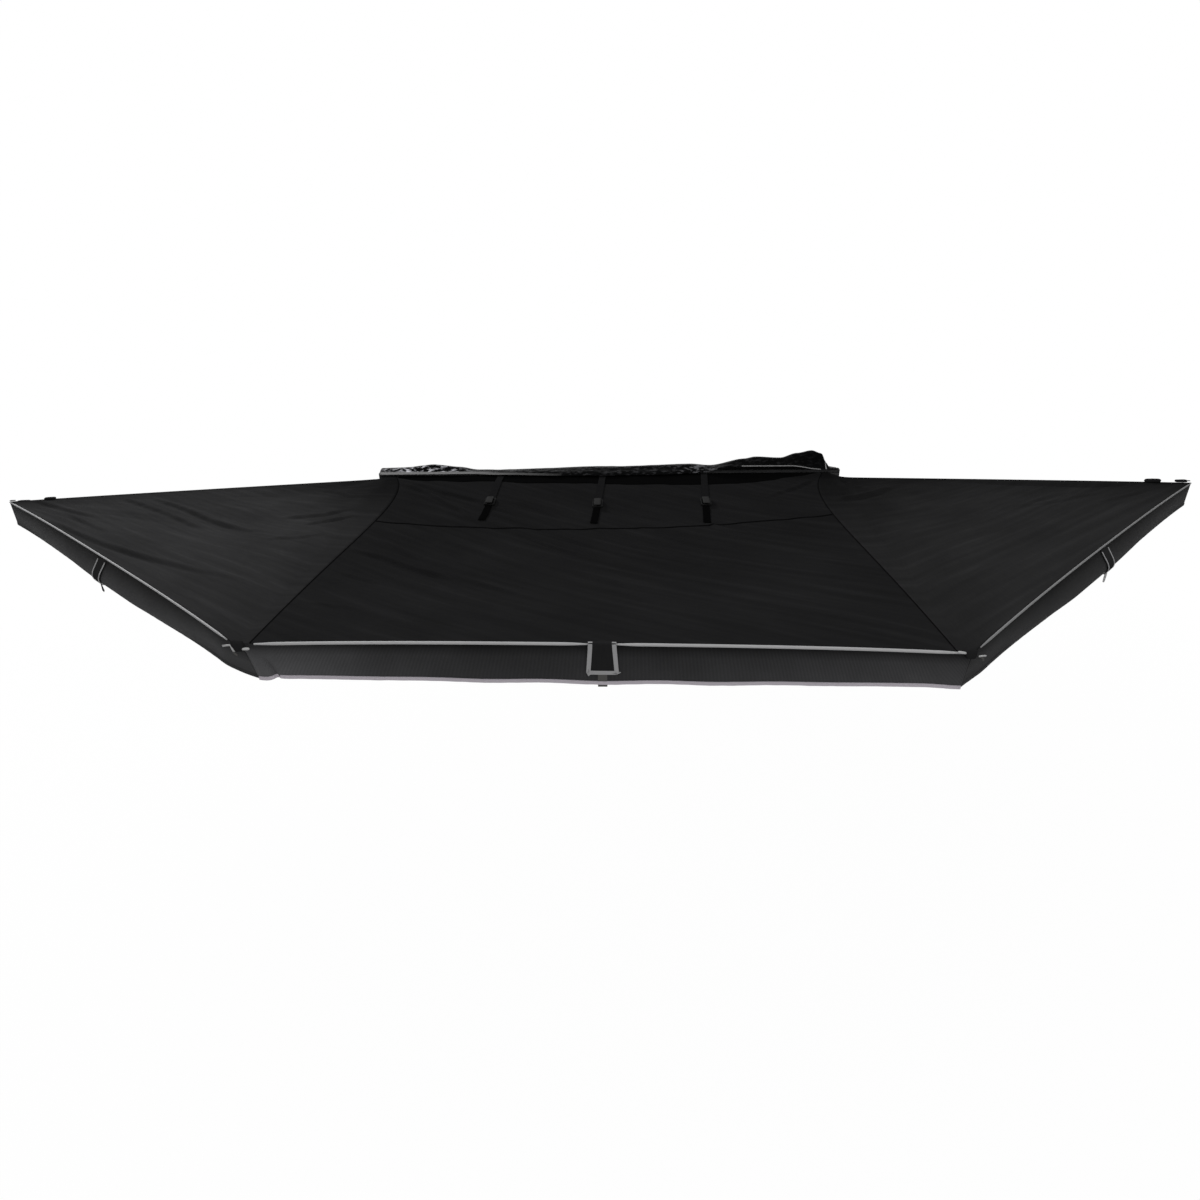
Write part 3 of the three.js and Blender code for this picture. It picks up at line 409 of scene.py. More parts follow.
def worn_material(name, colour, look):
    material, tree, shader = new_material(name, colour, look.roughness, look.metallic, look.specular)
    flat = coordinates(tree, "Object")
    wear = noise_value(tree, flat, look.wear_size, 5)
    vary_colour(tree, shader, look.contrast, *look.tones, wear)
    vary_roughness(tree, shader, *look.shine, wear)
    add_bump(tree, shader, noise_value(tree, flat, look.grain_size, 2), look.height, look.strength)
    return material


# Painted crease light and shade: the direction of its streaks on the flat sheet, their length and width
CENTRE_CREASE_SHADE = (math.radians(60), 0.55, 0.034)
LEFT_CREASE_SHADE = (math.radians(84), 0.60, 0.036)
RIGHT_CREASE_SHADE = (math.radians(8), 0.60, 0.045)
CREASE_SHADE_STOPS = [(0, 0.90), (0.45, 0.99), (0.8, 1.05), (1, 1.16)]
# How the colour of a cloth runs: the flat sheet's axis, its length, then stops of (share, factor)
# The canopy's shades are painted shade: each cloth darker towards the rail and the back edges, lighter
# towards the front
CENTRE_SHADES = [("X", CENTRE_FLAT[1], [(0, 0.88), (0.35, 0.92), (0.75, 1.1), (1, 1.12)])]
LEFT_SHADES = [
    ("X", WING_FLAT[1], [(0, 0.34), (0.12, 0.42), (0.45, 1.0), (1, 1.05)]),
    ("Y", WING_FLAT[0], [(0, 0.72), (0.2, 0.88), (0.5, 1.0), (0.9, 0.95), (0.97, 0.7), (1, 0.45)]),
]
RIGHT_SHADES = [
    ("Y", WING_FLAT[1], [(0, 0.40), (0.15, 0.5), (0.5, 0.95), (1, 1.08)]),
    ("X", WING_FLAT[0], [(0, 0.72), (0.2, 0.88), (0.6, 1.0), (0.9, 0.85), (0.97, 0.6), (1, 0.4)]),
]
# The valances' shades are painted light and shade: darker just under the piping, lighter lower down where
# the cloth flares out, and on the front lighter towards both ends, most at the left
SHADED_DROP = 0.11
FRONT_DROP_SHADING_STOPS = [(0, 0.26), (0.1, 0.32), (0.2, 0.55), (0.35, 0.8), (1, 1.05)]
SIDE_DROP_SHADING_STOPS = [(0, 0.15), (0.12, 0.2), (0.35, 0.72), (0.6, 1.15), (1, 0.95)]
FRONT_END_LIGHTING_STOPS = [(0, 1.6), (0.1, 1.5), (0.25, 1.2), (0.4, 1), (0.65, 1), (0.8, 1.3), (0.9, 2.3), (1, 2.9)]
FRONT_VALANCE_SHADES = [("Y", SHADED_DROP, FRONT_DROP_SHADING_STOPS), ("X", 2 * FRONT_PIVOT_X, FRONT_END_LIGHTING_STOPS)]
SIDE_VALANCE_SHADES = [("Y", SHADED_DROP, SIDE_DROP_SHADING_STOPS)]
STRAP_SHADES = [("Y", STRAP_LENGTH, [(0, 4.2), (0.5, 4.2), (0.56, 1), (1, 1)])]
TAPE_FADE = 0.8
TAPE_SHADES = [("Y", TAPE_FADE, [(0, 1), (0.5, 0.8), (0.75, 0.3), (1, 0.02)])]
# Painted glints of the cover, pale spots in its colour standing in for highlights: stops along the rail,
# then over its depth from front to back
PAINTED_GLINT_STOPS = [
    (0, 90), (0.05, 230), (0.13, 230), (0.2, 44), (0.26, 11),
    (0.5, 8), (0.64, 9), (0.69, 60), (0.75, 6), (1, 1),
]
PAINTED_GLINT_DEPTHS = (-0.04, 0.06)
PAINTED_GLINT_DEPTH_STOPS = [(0, 1), (0.5, 1), (0.75, 0.12), (1, 0.03)]

# The centre and the wings are one cloth: their different greys are painted light and shade, the left wing
# lit most and the centre least
CENTRE_CLOTH = woven_cloth("centre_cloth", grey(0.0137, 0.0141), CENTRE_SHADES, CENTRE_CREASE_SHADE)
LEFT_CLOTH = woven_cloth("left_wing_cloth", grey(0.0335, 0.0342), LEFT_SHADES, LEFT_CREASE_SHADE)
RIGHT_CLOTH = woven_cloth("right_wing_cloth", grey(0.0290, 0.0295), RIGHT_SHADES, RIGHT_CREASE_SHADE)
# Seam cloth darker than the canopy: dark thread, and painted shade of the seam's fold
SEAM_CLOTH = woven_cloth("seam_cloth", grey(0.0045, 0.0046))
# Near-black cloth for the painted shadow that the cover casts along the rail
PAINTED_SHADOW_CLOTH = woven_cloth("band_cloth", grey(0.0030, 0.0031))
TAB_CLOTH = woven_cloth("tab_cloth", grey(0.0200, 0.0205))
SIDE_TAB_CLOTH = woven_cloth("side_tab_cloth", grey(0.0300, 0.0305))
# One valance cloth: its greys differ as painted light and shade, the left valance lit and the right shaded
VALANCE_CLOTHS = {
    "front": ribbed_cloth("valance_cloth", grey(0.043, 0.0445), FRONT_VALANCE_SHADES),
    "left": ribbed_cloth("left_valance_cloth", grey(0.056, 0.0575), SIDE_VALANCE_SHADES),
    "right": ribbed_cloth("right_valance_cloth", grey(0.032, 0.0328), SIDE_VALANCE_SHADES),
}
# One piping: its greys differ as painted light and shade, lightest at the front and darkest on the right
PIPING_CLOTHS = {
    "front": band_webbing("piping_cloth", grey(0.46, 0.465), PIPING_PITCH, 0.55, 0.2),
    "left": band_webbing("left_piping_cloth", grey(0.40, 0.405), PIPING_PITCH, 0.55, 0.1),
    "right": band_webbing("right_piping_cloth", grey(0.24, 0.243), PIPING_PITCH, 0.55, 0.1),
}
HEM_CLOTH = band_webbing("hem_cloth", (0.56, 0.52, 0.57), HEM_PITCH, 0.7, 0.1)
SIDE_HEM_CLOTH = band_webbing("side_hem_cloth", grey(0.045, 0.046), HEM_PITCH, 0.7, 0.02)
BINDING_CLOTH = band_webbing("binding_cloth", grey(0.36, 0.365), BINDING_PITCH, 0.6, 0.15)
BLACK_WEBBING = band_webbing("black_webbing", grey(0.0026, 0.0027), WEBBING_PITCH, 0.65, 0.02)
STRAP_WEBBING = band_webbing("strap_webbing", grey(0.0026, 0.0027), WEBBING_PITCH, 0.65, 0.0, STRAP_SHADES)
GREY_WEBBING = band_webbing("grey_webbing", (0.090, 0.088, 0.084), WEBBING_PITCH, 0.75, 0.1)
BUCKLE_WEBBING = band_webbing("buckle_webbing", grey(0.034), WEBBING_PITCH, 0.75, 0.0)
LIGHT_WEBBING = band_webbing("light_webbing", grey(0.50), PIPING_PITCH)
COVER_TAPE = band_webbing("cover_tape", grey(0.34), WEBBING_PITCH, 0.6, 0.1, TAPE_SHADES)
COVER_VINYL = glossy_vinyl("cover_vinyl", grey(0.0032, 0.0034))
BLACK_STEEL = worn_material("black_steel", (0.012, 0.012, 0.013), POWDER_COAT)
ZINC_STEEL = worn_material("zinc_steel", (0.55, 0.56, 0.58), PLATED)
BLACK_PLASTIC = worn_material("black_plastic", grey(0.010, 0.0105), MOULDED)
BUCKLE_PLASTIC = worn_material("buckle_plastic", grey(0.012, 0.0122), DULL_MOULDED)
RAIL_ALUMINIUM = drawn_metal("black_anodised_aluminium", grey(0.008, 0.0085), ANODISED)
ARM_COLOUR = (0.60, 0.61, 0.62)
LEFT_ARM_ALUMINIUM = drawn_metal("left_side_arm_aluminium", ARM_COLOUR, ALUMINIUM, -LEFT.sweep)
RIGHT_ARM_ALUMINIUM = drawn_metal("right_side_arm_aluminium", ARM_COLOUR, ALUMINIUM)
FRONT_ARM_ALUMINIUM = drawn_metal("front_arm_aluminium", ARM_COLOUR, ALUMINIUM, math.pi / 2)


# Meshes


def new_object(name, points, faces, material, uvs=None, smooth_faces=True):
    mesh = bpy.data.meshes.new(name)
    mesh.from_pydata([tuple(p) for p in points], [], faces)
    mesh.materials.append(material)
    for polygon in mesh.polygons:
        polygon.use_smooth = smooth_faces
    if uvs:
        layer = mesh.uv_layers.new(name="flat")
        for loop in mesh.loops:
            layer.data[loop.index].uv = uvs[loop.vertex_index]
    piece = bpy.data.objects.new(name, mesh)
    bpy.context.scene.collection.objects.link(piece)
    return piece


def cloth_grid(name, columns, rows, point_at, flat_size, material, thickness=CLOTH_THICKNESS):
    """A sheet over (u, v), with its front where u crosses v, thickened away from its front."""
    points, uvs, faces = [], [], []
    for u in shares(columns):
        for v in shares(rows):
            points.append(point_at(u, v))
            uvs.append((u * flat_size[0], v * flat_size[1]))
    for column in range(columns):
        for row in range(rows):
            first = column * (rows + 1) + row
            faces.append((first, first + rows + 1, first + rows + 2, first + 1))
    piece = new_object(name, points, faces, material, uvs)
    solidify = piece.modifiers.new("thickness", "SOLIDIFY")
    solidify.thickness = thickness
    solidify.offset = -1
    return piece


def loft(name, rings, material, closed_path=False, smooth_faces=True):
    """Rings of equally many points, joined one to the next and closed at both ends."""
    count = len(rings[0])
    points, uvs, faces = [], [], []
    travelled = 0.0
    for index, ring in enumerate(rings):
        if index:
            travelled += (ring[0] - rings[index - 1][0]).length
        rim = 0.0
        for number, place in enumerate(ring):
            points.append(place)
            uvs.append((rim, travelled))
            rim += (ring[(number + 1) % count] - place).length
    steps = len(rings) if closed_path else len(rings) - 1
    for index in range(steps):
        here, there = index * count, (index + 1) % len(rings) * count
        for number in range(count):
            following = (number + 1) % count
            faces.append((here + number, here + following, there + following, there + number))
    if not closed_path:
        faces.append(tuple(range(count - 1, -1, -1)))
        faces.append(tuple(steps * count + number for number in range(count)))
    return new_object(name, points, faces, material, uvs, smooth_faces)


def tangent_at(path, index, closed_path=False):
    if closed_path:
        return (path[(index + 1) % len(path)] - path[index - 1]).normalized()
    return (path[min(index + 1, len(path) - 1)] - path[max(index - 1, 0)]).normalized()


def ring_at(place, side, up, outline, scale=1.0):
    return [place + (side * a + up * b) * scale for a, b in outline]


def sweep(name, path, outline, side, material, closed_path=False, smooth_faces=True):
    """A closed outline of (side, up) places carried along a path, square to it."""
    rings = []
    for index, place in enumerate(path):
        tangent = tangent_at(path, index, closed_path)
        square = (side - tangent * side.dot(tangent)).normalized()
        rings.append(ring_at(place, square, square.cross(tangent), outline))
    return loft(name, rings, material, closed_path, smooth_faces)


def ribbon(name, path, normals, half, thickness, material):
    """A flat band along a path, lying square to its normals, with mitred corners."""
    rings = []
    for index, (place, normal) in enumerate(zip(path, normals)):
        before = path[max(index - 1, 0)]
        after = path[min(index + 1, len(path) - 1)]
        arriving = (place - before).normalized() if index else (after - place).normalized()
        leaving = (after - place).normalized() if index < len(path) - 1 else arriving
        side = normal.cross((arriving + leaving).normalized()).normalized()
        stretch = 1 / max(0.5, side.dot(normal.cross(leaving).normalized()))
        rings.append(ring_at(place, side * stretch, normal, rectangle((-half, 0), (half, thickness))))
    return loft(name, rings, material, smooth_faces=False)


def circle(radius, sides=12):
    turns = [2 * math.pi * side / sides for side in range(sides)]
    return [(radius * math.cos(turn), radius * math.sin(turn)) for turn in turns]


def rectangle(low, high):
    return [(low[0], low[1]), (high[0], low[1]), (high[0], high[1]), (low[0], high[1])]


def pillow(width, height, sides=16, squareness=4):
    """A flat rounded outline, as a webbing or a padded fold has across."""
    places = []
    for side in range(sides):
        turn = 2 * math.pi * side / sides
        c, s = math.cos(turn), math.sin(turn)
        scale = (abs(c) ** squareness + abs(s) ** squareness) ** (-1 / squareness)
        places.append((width / 2 * c * scale, height / 2 * s * scale))
    return places


# Bodies


def side_arm_direction(end):
    return Vector((end.side * math.cos(end.sweep), -math.sin(end.sweep), 0))


def behind_arm(end):
    direction = side_arm_direction(end)
    return Vector((-end.side * direction.y, end.side * direction.x, 0))


def side_pivot(end):
    return Vector((end.side * SIDE_PIVOT_X, SIDE_PIVOT_Y, 0))


def follow(piece, end):
    """A soft piece goes with its side arm, or with the rail where it has no end."""
    if end is None:
        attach(piece, "root")
        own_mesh(piece)
        return
    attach(piece, f"{end.name}_side_arm")
    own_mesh(piece)


# Canopy surfaces


def channel_share(distance):
    """How much of the rail's height above the arms is left at a distance from the rail."""
    dip = max(0.0, 1 - distance / CHANNEL_FALL) ** 2
    return mix(max(0.0, 1 - distance / FRONT_CORNER_DISTANCE), dip, CHANNEL_FALL_SHARE)


def front_distance(across):
    return FRONT_CORNER_DISTANCE - FRONT_EDGE_CURVE * arch(across)


def centre_point(across, distance):
    """Top of the cloth between the front arms, on both sides of the seams to the wings."""
    level = mix(LEFT.level, RIGHT.level, across)
    depth = distance / front_distance(across)
    sag = CENTRE_SAG * math.sin(math.pi * depth) * arch(across) + FRONT_EDGE_SAG * depth * bulge(across)
    height = level + (CANOPY_RAIL_HEIGHT - level) * channel_share(distance) - sag
    return Vector((mix(-FRONT_HALF, FRONT_HALF, across), -CANOPY_START - distance, height))


def seam_share(distance, gap=0.0):
    place = distance / FRONT_CORNER_DISTANCE / SEAM_BOW_SHARE
    inset = SEAM_INSET + SEAM_BOW * place * math.exp(1 - place)
    return (inset + gap) / (2 * FRONT_PIVOT_X)


def fan_fold(outward, across):
    from_free, from_back = 1 - outward, 1 - across
    share = from_back / max(from_free + from_back, 1e-9)
    return math.sin(2 * math.pi * WING_FOLD_COUNT * share) * arch(outward) * bulge(across)


def wing_point(end, outward_share, across):
    """Top of the cloth between a front arm and its side arm."""
    rise = CANOPY_RAIL_HEIGHT - end.level
    outward = outward_share * (1 - (SIDE_EDGE_CURVE / ARM_REACH) * arch(across))
    distance = outward * FRONT_CORNER_DISTANCE
    over_arm = Vector((end.side * (FRONT_PIVOT_X + SEAM_GAP / 2), -CANOPY_START - distance, 0))
    over_arm.z = end.level + rise * channel_share(distance)
    reach = mix(KNUCKLE_SHOULDER, ARM_REACH, outward)
    back = side_pivot(end) + side_arm_direction(end) * reach
    back += behind_arm(end) * BACK_OVERHANG * (1 - outward**4)
    back.z = end.level + rise * channel_share(reach - SIDE_PIVOT_Y - CANOPY_START)
    sag = end.sag * (over_arm - back).length / ARM_REACH * math.sin(math.pi * mix(*WING_SAG_SHARES, outward))
    point = over_arm.lerp(back, across)
    point.z += end.fold * fan_fold(outward_share, across) - sag * bulge(across)
    return point


# Wrinkles

CREASE_SHARPNESS = 0.68
CENTRE_CREASE_STRENGTH = 2.2
WING_CREASE_STRENGTH = 2.1
# Creases drawn over the cloth by its tension: places as (x, y), then height and half width
CENTRE_CREASES = [
    ([(-0.889, -0.826), (-0.759, -0.868), (-0.633, -0.941), (-0.505, -1.005), (-0.291, -1.087)],
     0.0046, 0.017),
    ([(-0.614, -0.950), (-0.429, -1.016), (-0.186, -1.139)], 0.0026, 0.016),
    ([(-0.911, -0.069), (-0.732, -0.231), (-0.579, -0.385), (-0.491, -0.512)], 0.0048, 0.018),
    ([(-0.892, -0.056), (-0.683, -0.206), (-0.514, -0.286), (-0.401, -0.376), (-0.245, -0.496)],
     0.0040, 0.016),
    ([(-0.441, -0.239), (-0.309, -0.321), (-0.202, -0.401), (-0.112, -0.490)], 0.0030, 0.017),
    ([(-0.380, -0.546), (-0.259, -0.636), (-0.143, -0.719), (0.0, -0.796)], 0.0032, 0.015),
    ([(-0.270, -0.517), (-0.112, -0.627), (0.006, -0.715)], 0.0026, 0.014),
    ([(0.001, -0.276), (0.140, -0.399), (0.283, -0.470)], 0.0022, 0.016),
    ([(-0.071, -0.553), (0.089, -0.670), (0.177, -0.718)], 0.0022, 0.014),
    ([(0.110, -0.508), (0.272, -0.634), (0.428, -0.739)], 0.0025, 0.015),
    ([(0.378, -0.478), (0.462, -0.562), (0.692, -0.693)], 0.0026, 0.014),
    ([(0.527, -0.524), (0.691, -0.628), (0.817, -0.721)], 0.0022, 0.013),
    ([(-0.849, -1.018), (-0.753, -1.062), (-0.657, -1.093)], 0.0022, 0.014),
    ([(-0.871, -1.247), (-0.784, -1.263), (-0.675, -1.279)], 0.0014, 0.014),
    ([(-0.800, -0.721), (-0.711, -0.792), (-0.621, -0.881)], 0.0018, 0.014),
    ([(0.900, -0.060), (0.760, -0.190), (0.620, -0.270)], 0.0026, 0.018),
]
LEFT_CREASES = [
    ([(-2.404, -0.257), (-2.248, -0.347), (-2.059, -0.445), (-1.900, -0.509)], 0.0036, 0.016),
    ([(-2.262, -0.452), (-2.012, -0.604), (-1.761, -0.763), (-1.349, -0.981), (-0.986, -1.158)],
     0.0052, 0.017),
    ([(-2.150, -0.420), (-1.906, -0.591), (-1.749, -0.675)], 0.0028, 0.014),
    ([(-2.033, -0.259), (-1.895, -0.330), (-1.589, -0.520), (-1.470, -0.590)], 0.0030, 0.016),
    ([(-1.911, -0.251), (-1.740, -0.349), (-1.517, -0.494), (-1.324, -0.594), (-1.239, -0.618)],
     0.0040, 0.015),
    ([(-1.229, -0.709), (-1.082, -0.732), (-0.977, -0.705)], 0.0024, 0.016),
    ([(-1.280, -0.474), (-1.082, -0.479), (-0.952, -0.436)], 0.0036, 0.017),
    ([(-1.138, -0.588), (-1.026, -0.564), (-0.917, -0.512)], 0.0034, 0.014),
    ([(-1.217, -0.159), (-1.054, -0.267), (-0.895, -0.316)], 0.0034, 0.017),
]
RIGHT_CREASES = [
    ([(2.330, -0.110), (2.020, -0.282), (1.937, -0.311)], 0.0024, 0.017),
    ([(1.907, -0.183), (1.582, -0.372)], 0.0018, 0.018),
    ([(2.057, -0.184), (1.756, -0.317), (1.535, -0.373)], 0.0020, 0.016),
    ([(1.432, -0.075), (1.666, -0.103), (1.981, -0.113), (2.132, -0.101), (2.250, -0.074)], 0.0050, 0.018),
    ([(0.894, -0.332), (0.991, -0.310), (1.270, -0.091)], 0.0046, 0.022),
    ([(0.990, -0.060), (1.010, -0.150), (1.090, -0.190)], -0.0060, 0.022),
]

# Drag lines of the centre: their height, then their direction, pitch and length
BROAD_DRAG_HEIGHT = 0.0066
BROAD_DRAG = (math.radians(-32), 0.075, 0.6)
FINE_DRAG_HEIGHT = 0.0026
FINE_DRAG = (math.radians(-32) + 0.1, 0.03, 0.35)
# They fade away from the rail and to the right: where each fade starts, and its length
OUTWARD_FADE = (0.25, 1.1)
RIGHT_FADE = (-0.4, 1.2)
# Radius round each buckle in which the cloth is calm
BUCKLE_CALM = 0.06
# Streaks of a wing fan out from its tip: their height, and how far from the tip they rise and fade
WING_STREAK_HEIGHT = 0.0040
WING_STREAK_LENGTHS = (0.8, 0.5)
WING_STREAK_RISE = 0.3
WING_STREAK_FADE = (0.9, 0.8)


def nearest_on_line(place, line, reach):
    """The nearest place of a line within reach: distance, distance with its side, share along."""
    nearest = None
    for index, (start, stop) in enumerate(zip(line, line[1:])):
        if not min(start[0], stop[0]) - reach < place.x < max(start[0], stop[0]) + reach:
            continue
        ax, ay = stop[0] - start[0], stop[1] - start[1]
        bx, by = place.x - start[0], place.y - start[1]
        along = clamp((bx * ax + by * ay) / math.hypot(ax, ay) ** 2)
        away = math.hypot(bx - along * ax, by - along * ay)
        if away < reach and (nearest is None or away < nearest[0]):
            over = math.copysign(away, (bx * ay - by * ax) * (1 if ax > 0 else -1))
            nearest = (away, over, (index + along) / (len(line) - 1))
    return nearest


def crease_height(place, creases, strength):
    """Ridges with a hollow on their lower side, along lines in the plan."""
    height = 0.0
    for line, rise, wide in creases:
        half_width = wide * CREASE_SHARPNESS
        nearest = nearest_on_line(place, line, 3.2 * half_width)
        if nearest:
            over, share = nearest[1:]
            ridge = math.exp(-((over / half_width) ** 2))
            hollow = math.exp(-(((over - 1.5 * half_width) / half_width) ** 2))
            ends = smooth(share / 0.25) * smooth((1 - share) / 0.4)
            height += strength * rise * (ridge - 0.6 * hollow) * ends
    return height


def streaks(x, y, angle, pitch, length, seed):
    along = x * math.cos(angle) + y * math.sin(angle)
    over = -x * math.sin(angle) + y * math.cos(angle)
    drift = 0.35 * noise.noise(Vector((along / length, over / length, seed + 7)))
    return noise.noise(Vector((along / length, over / pitch + drift, seed)))


def edge_hold(share, margin=0.02):
    return smooth(share / margin) * smooth((1 - share) / margin)


def centre_wrinkles(point):
    rearward = 1 - smooth((-point.y - OUTWARD_FADE[0]) / OUTWARD_FADE[1])
    leftward = 1 - 0.5 * smooth((point.x - RIGHT_FADE[0]) / RIGHT_FADE[1])
    broad = BROAD_DRAG_HEIGHT * streaks(point.x, point.y, *BROAD_DRAG, 3)
    fine = FINE_DRAG_HEIGHT * streaks(point.x, point.y, *FINE_DRAG, 5)
    drag = broad * (0.25 + 0.75 * rearward) * leftward + fine * (0.2 + 0.8 * rearward)
    calm = 1.0
    for x in STRAP_PLACES.values():
        away = math.hypot(point.x - x, point.y + CANOPY_START + BUCKLE_DISTANCE)
        calm *= 1 - math.exp(-((away / BUCKLE_CALM) ** 4))
    return calm * (drag + crease_height(point, CENTRE_CREASES, CENTRE_CREASE_STRENGTH))


def wing_wrinkles(end, point):
    tip = side_pivot(end) + side_arm_direction(end) * ARM_REACH
    dx, dy = point.x - tip.x, point.y - tip.y
    distance = math.hypot(dx, dy)
    turn = math.atan2(dy, -end.side * dx)
    fan = noise.noise(Vector((turn * 20, distance / WING_STREAK_LENGTHS[0], 17 + end.side)))
    fine = noise.noise(Vector((turn * 48, distance / WING_STREAK_LENGTHS[1], 5 + end.side)))
    fade = smooth((distance - WING_STREAK_FADE[0]) / WING_STREAK_FADE[1])
    envelope = smooth(distance / WING_STREAK_RISE) * (1 - 0.7 * fade)
    creases, strength = (LEFT_CREASES, 1.0) if end is LEFT else (RIGHT_CREASES, 0.6)
    streak = strength * WING_STREAK_HEIGHT * (fan + 0.4 * fine) * envelope
    return streak + crease_height(point, creases, WING_CREASE_STRENGTH)


# Canopy cloth

CENTRE_GRID = (230, 270)
WING_GRID = (180, 200)
WING_STRIP_SHARE = 8 / 200
WING_SEAM = (0.0022, 0.0008)
WING_SEAM_SHARES = (0.004, 0.996)
CROSS_SEAM = (0.0045, 0.0009)
CROSS_SEAM_SHARES = (0.003, 0.997)
SEAM_LIFT = 0.0001


def centre_surface(depth, panel_share):
    edge = seam_share(FRONT_CORNER_DISTANCE)
    distance = depth * front_distance(mix(edge, 1 - edge, panel_share))
    edge = seam_share(distance, SEAM_GAP / 2)
    point = centre_point(mix(edge, 1 - edge, panel_share), distance)
    point.z += centre_wrinkles(point) * edge_hold(panel_share) * edge_hold(depth)
    return point


def on_centre(x, distance):
    """The centre cloth's place at an x and a distance from its start."""
    across = (x + FRONT_HALF) / (2 * FRONT_HALF)
    edge = seam_share(distance)
    return centre_surface(distance / front_distance(across), (across - edge) / (1 - 2 * edge))


def wing_surface(end, outward, sheet_share):
    if sheet_share < WING_STRIP_SHARE:
        strip = 1 - sheet_share / WING_STRIP_SHARE
        from_arm = strip * seam_share(outward * FRONT_CORNER_DISTANCE, -SEAM_GAP / 2)
        across = from_arm if end is LEFT else 1 - from_arm
        point = centre_point(across, outward * front_distance(across))
    else:
        point = wing_point(end, outward, (sheet_share - WING_STRIP_SHARE) / (1 - WING_STRIP_SHARE))
    point.z += wing_wrinkles(end, point) * edge_hold(sheet_share) * edge_hold(outward)
    return point


def make_canopy():
    centre = cloth_grid("canopy_centre", *CENTRE_GRID, centre_surface, CENTRE_FLAT[::-1], CENTRE_CLOTH)
    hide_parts("rear_panel", "centre_panel")
    follow(centre, None)
    surfaces = (lambda u, v: wing_surface(LEFT, u, v)), (lambda u, v: wing_surface(RIGHT, v, u))
    cloths = (WING_FLAT[::-1], LEFT_CLOTH), (WING_FLAT, RIGHT_CLOTH)
    for end, surface, cloth in zip(ENDS, surfaces, cloths):
        wing = cloth_grid(f"{end.name}_wing", *WING_GRID, surface, *cloth)
        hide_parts(f"{end.name}_wing_panel")
        follow(wing, end)


def make_seam(name, places, size, side):
    half_width, height = size
    path = [centre_surface(depth, panel) + UP * SEAM_LIFT for depth, panel in places]
    seam = sweep(name, path, rectangle((-half_width, 0), (half_width, height)), side, SEAM_CLOTH)
    follow(seam, None)


def make_seams():
    """Felled seams: between the centre and each wing, and across the centre."""
    for end, panel in zip(ENDS, (0.0, 1.0)):
        places = [(mix(*WING_SEAM_SHARES, share), panel) for share in shares(120)]
        make_seam(f"{end.name}_wing_seam", places, WING_SEAM, LEFTWARD)
    edge = seam_share(FRONT_CORNER_DISTANCE)
    places = []
    for share in shares(160):
        panel = mix(*CROSS_SEAM_SHARES, share)
        distance = mix(CROSS_SEAM_LEFT, CROSS_SEAM_RIGHT, panel)
        places.append((distance / front_distance(mix(edge, 1 - edge, panel)), panel))
    make_seam("cross_seam", places, CROSS_SEAM, FORWARD)


# Painted shadow: a near-black sheet laid on the canopy along the rail, where the cover's shade falls; places
# as (x, distance from the canopy's start)

BAND_START = 0.003
BAND_LIFT = 0.0008
BAND_THICKNESS = 0.0005
BAND_EDGE = [
    (-0.915, 0.020),
    (-0.903, 0.029),
    (-0.833, 0.049),
    (-0.765, 0.059),
    (-0.482, 0.071),
    (-0.160, 0.079),
    (0.054, 0.089),
    (0.224, 0.097),
    (0.393, 0.0975),
    (0.541, 0.094),
    (0.693, 0.069),
    (0.760, 0.048),
    (0.828, 0.027),
    (0.896, 0.010),
]


def make_painted_shadow_band():
    def surface(u, v):
        x = mix(BAND_EDGE[0][0], BAND_EDGE[-1][0], v)
        return on_centre(x, mix(BAND_START, table_at(BAND_EDGE, x)[0], u)) + UP * BAND_LIFT

    size = (max(reach for _, reach in BAND_EDGE), BAND_EDGE[-1][0] - BAND_EDGE[0][0])
    # The sheet is painted shadow: it stands for the cover's shade on the canopy
    band = cloth_grid("back_band", 8, 200, surface, size, PAINTED_SHADOW_CLOTH, BAND_THICKNESS)
    follow(band, None)


# Valances

VALANCE_COLUMN = 0.008
VALANCE_THICKNESS = 0.001
HEM_WAVE_DEPTH = 0.007
HEM_WAVE_LENGTH = 0.31
FRONT_FLARE_ENDS = 0.006
FRONT_FLARE_MIDDLE = 0.011
# A dart sewn near the left corner, at a length along the edge that changes from top to hem
DART_DEPTH = 0.011
DART_PLACES = (0.025, 0.085)
DART_HALF_WIDTH = 0.011
SIDE_BELLY = 0.026
SIDE_BELLY_SHARE = 1.6
SIDE_BELLY_START_SHARE = 0.08
SIDE_BELLY_RUN_SHARES = (0.3, 0.5)
SIDE_FLARE = 0.015
# How the cloth is drawn at the front corners, at its hem and over its rounded end
CORNER_DRAWS = {"left": (0.036, -0.010, -0.008), "right": (-0.014, 0.0, -0.004)}
CORNER_ROUNDS = {"left": (0.0060, 0.0170, 0.0), "right": (0.0, 0.0, 0.0)}
CORNER_REACH = 0.11
CORNER_ROUND_SHARE = 0.3
HEM_STEP = 0.01
HEM_TAPE_HEIGHT = 0.009
HEM_TAPE_FOOT = -0.0012
HEM_TAPE_SIDES = (-0.0022, 0.0012)
HEM_RIPPLE = 0.0008
PIPING_STEP = 0.02
PIPING_RADIUS = 0.0042
SIDE_PIPING_RADIUS = 0.0031
PIPING_OUT = 0.003
PIPING_LIFT = 0.0012
FRONT_PIPING_SHARES = (0.026, 0.988)
SIDE_PIPING_SHARES = (0.02, 0.995)
# The piping stops at the front tab, a little further off on its right side
TAB_GAP_HALF = 0.034
TAB_GAP_SHIFT_SHARE = 0.002

Edge = namedtuple("Edge", "name end point_at outward length corners")


def front_edge_point(share):
    return centre_point(share, front_distance(share))


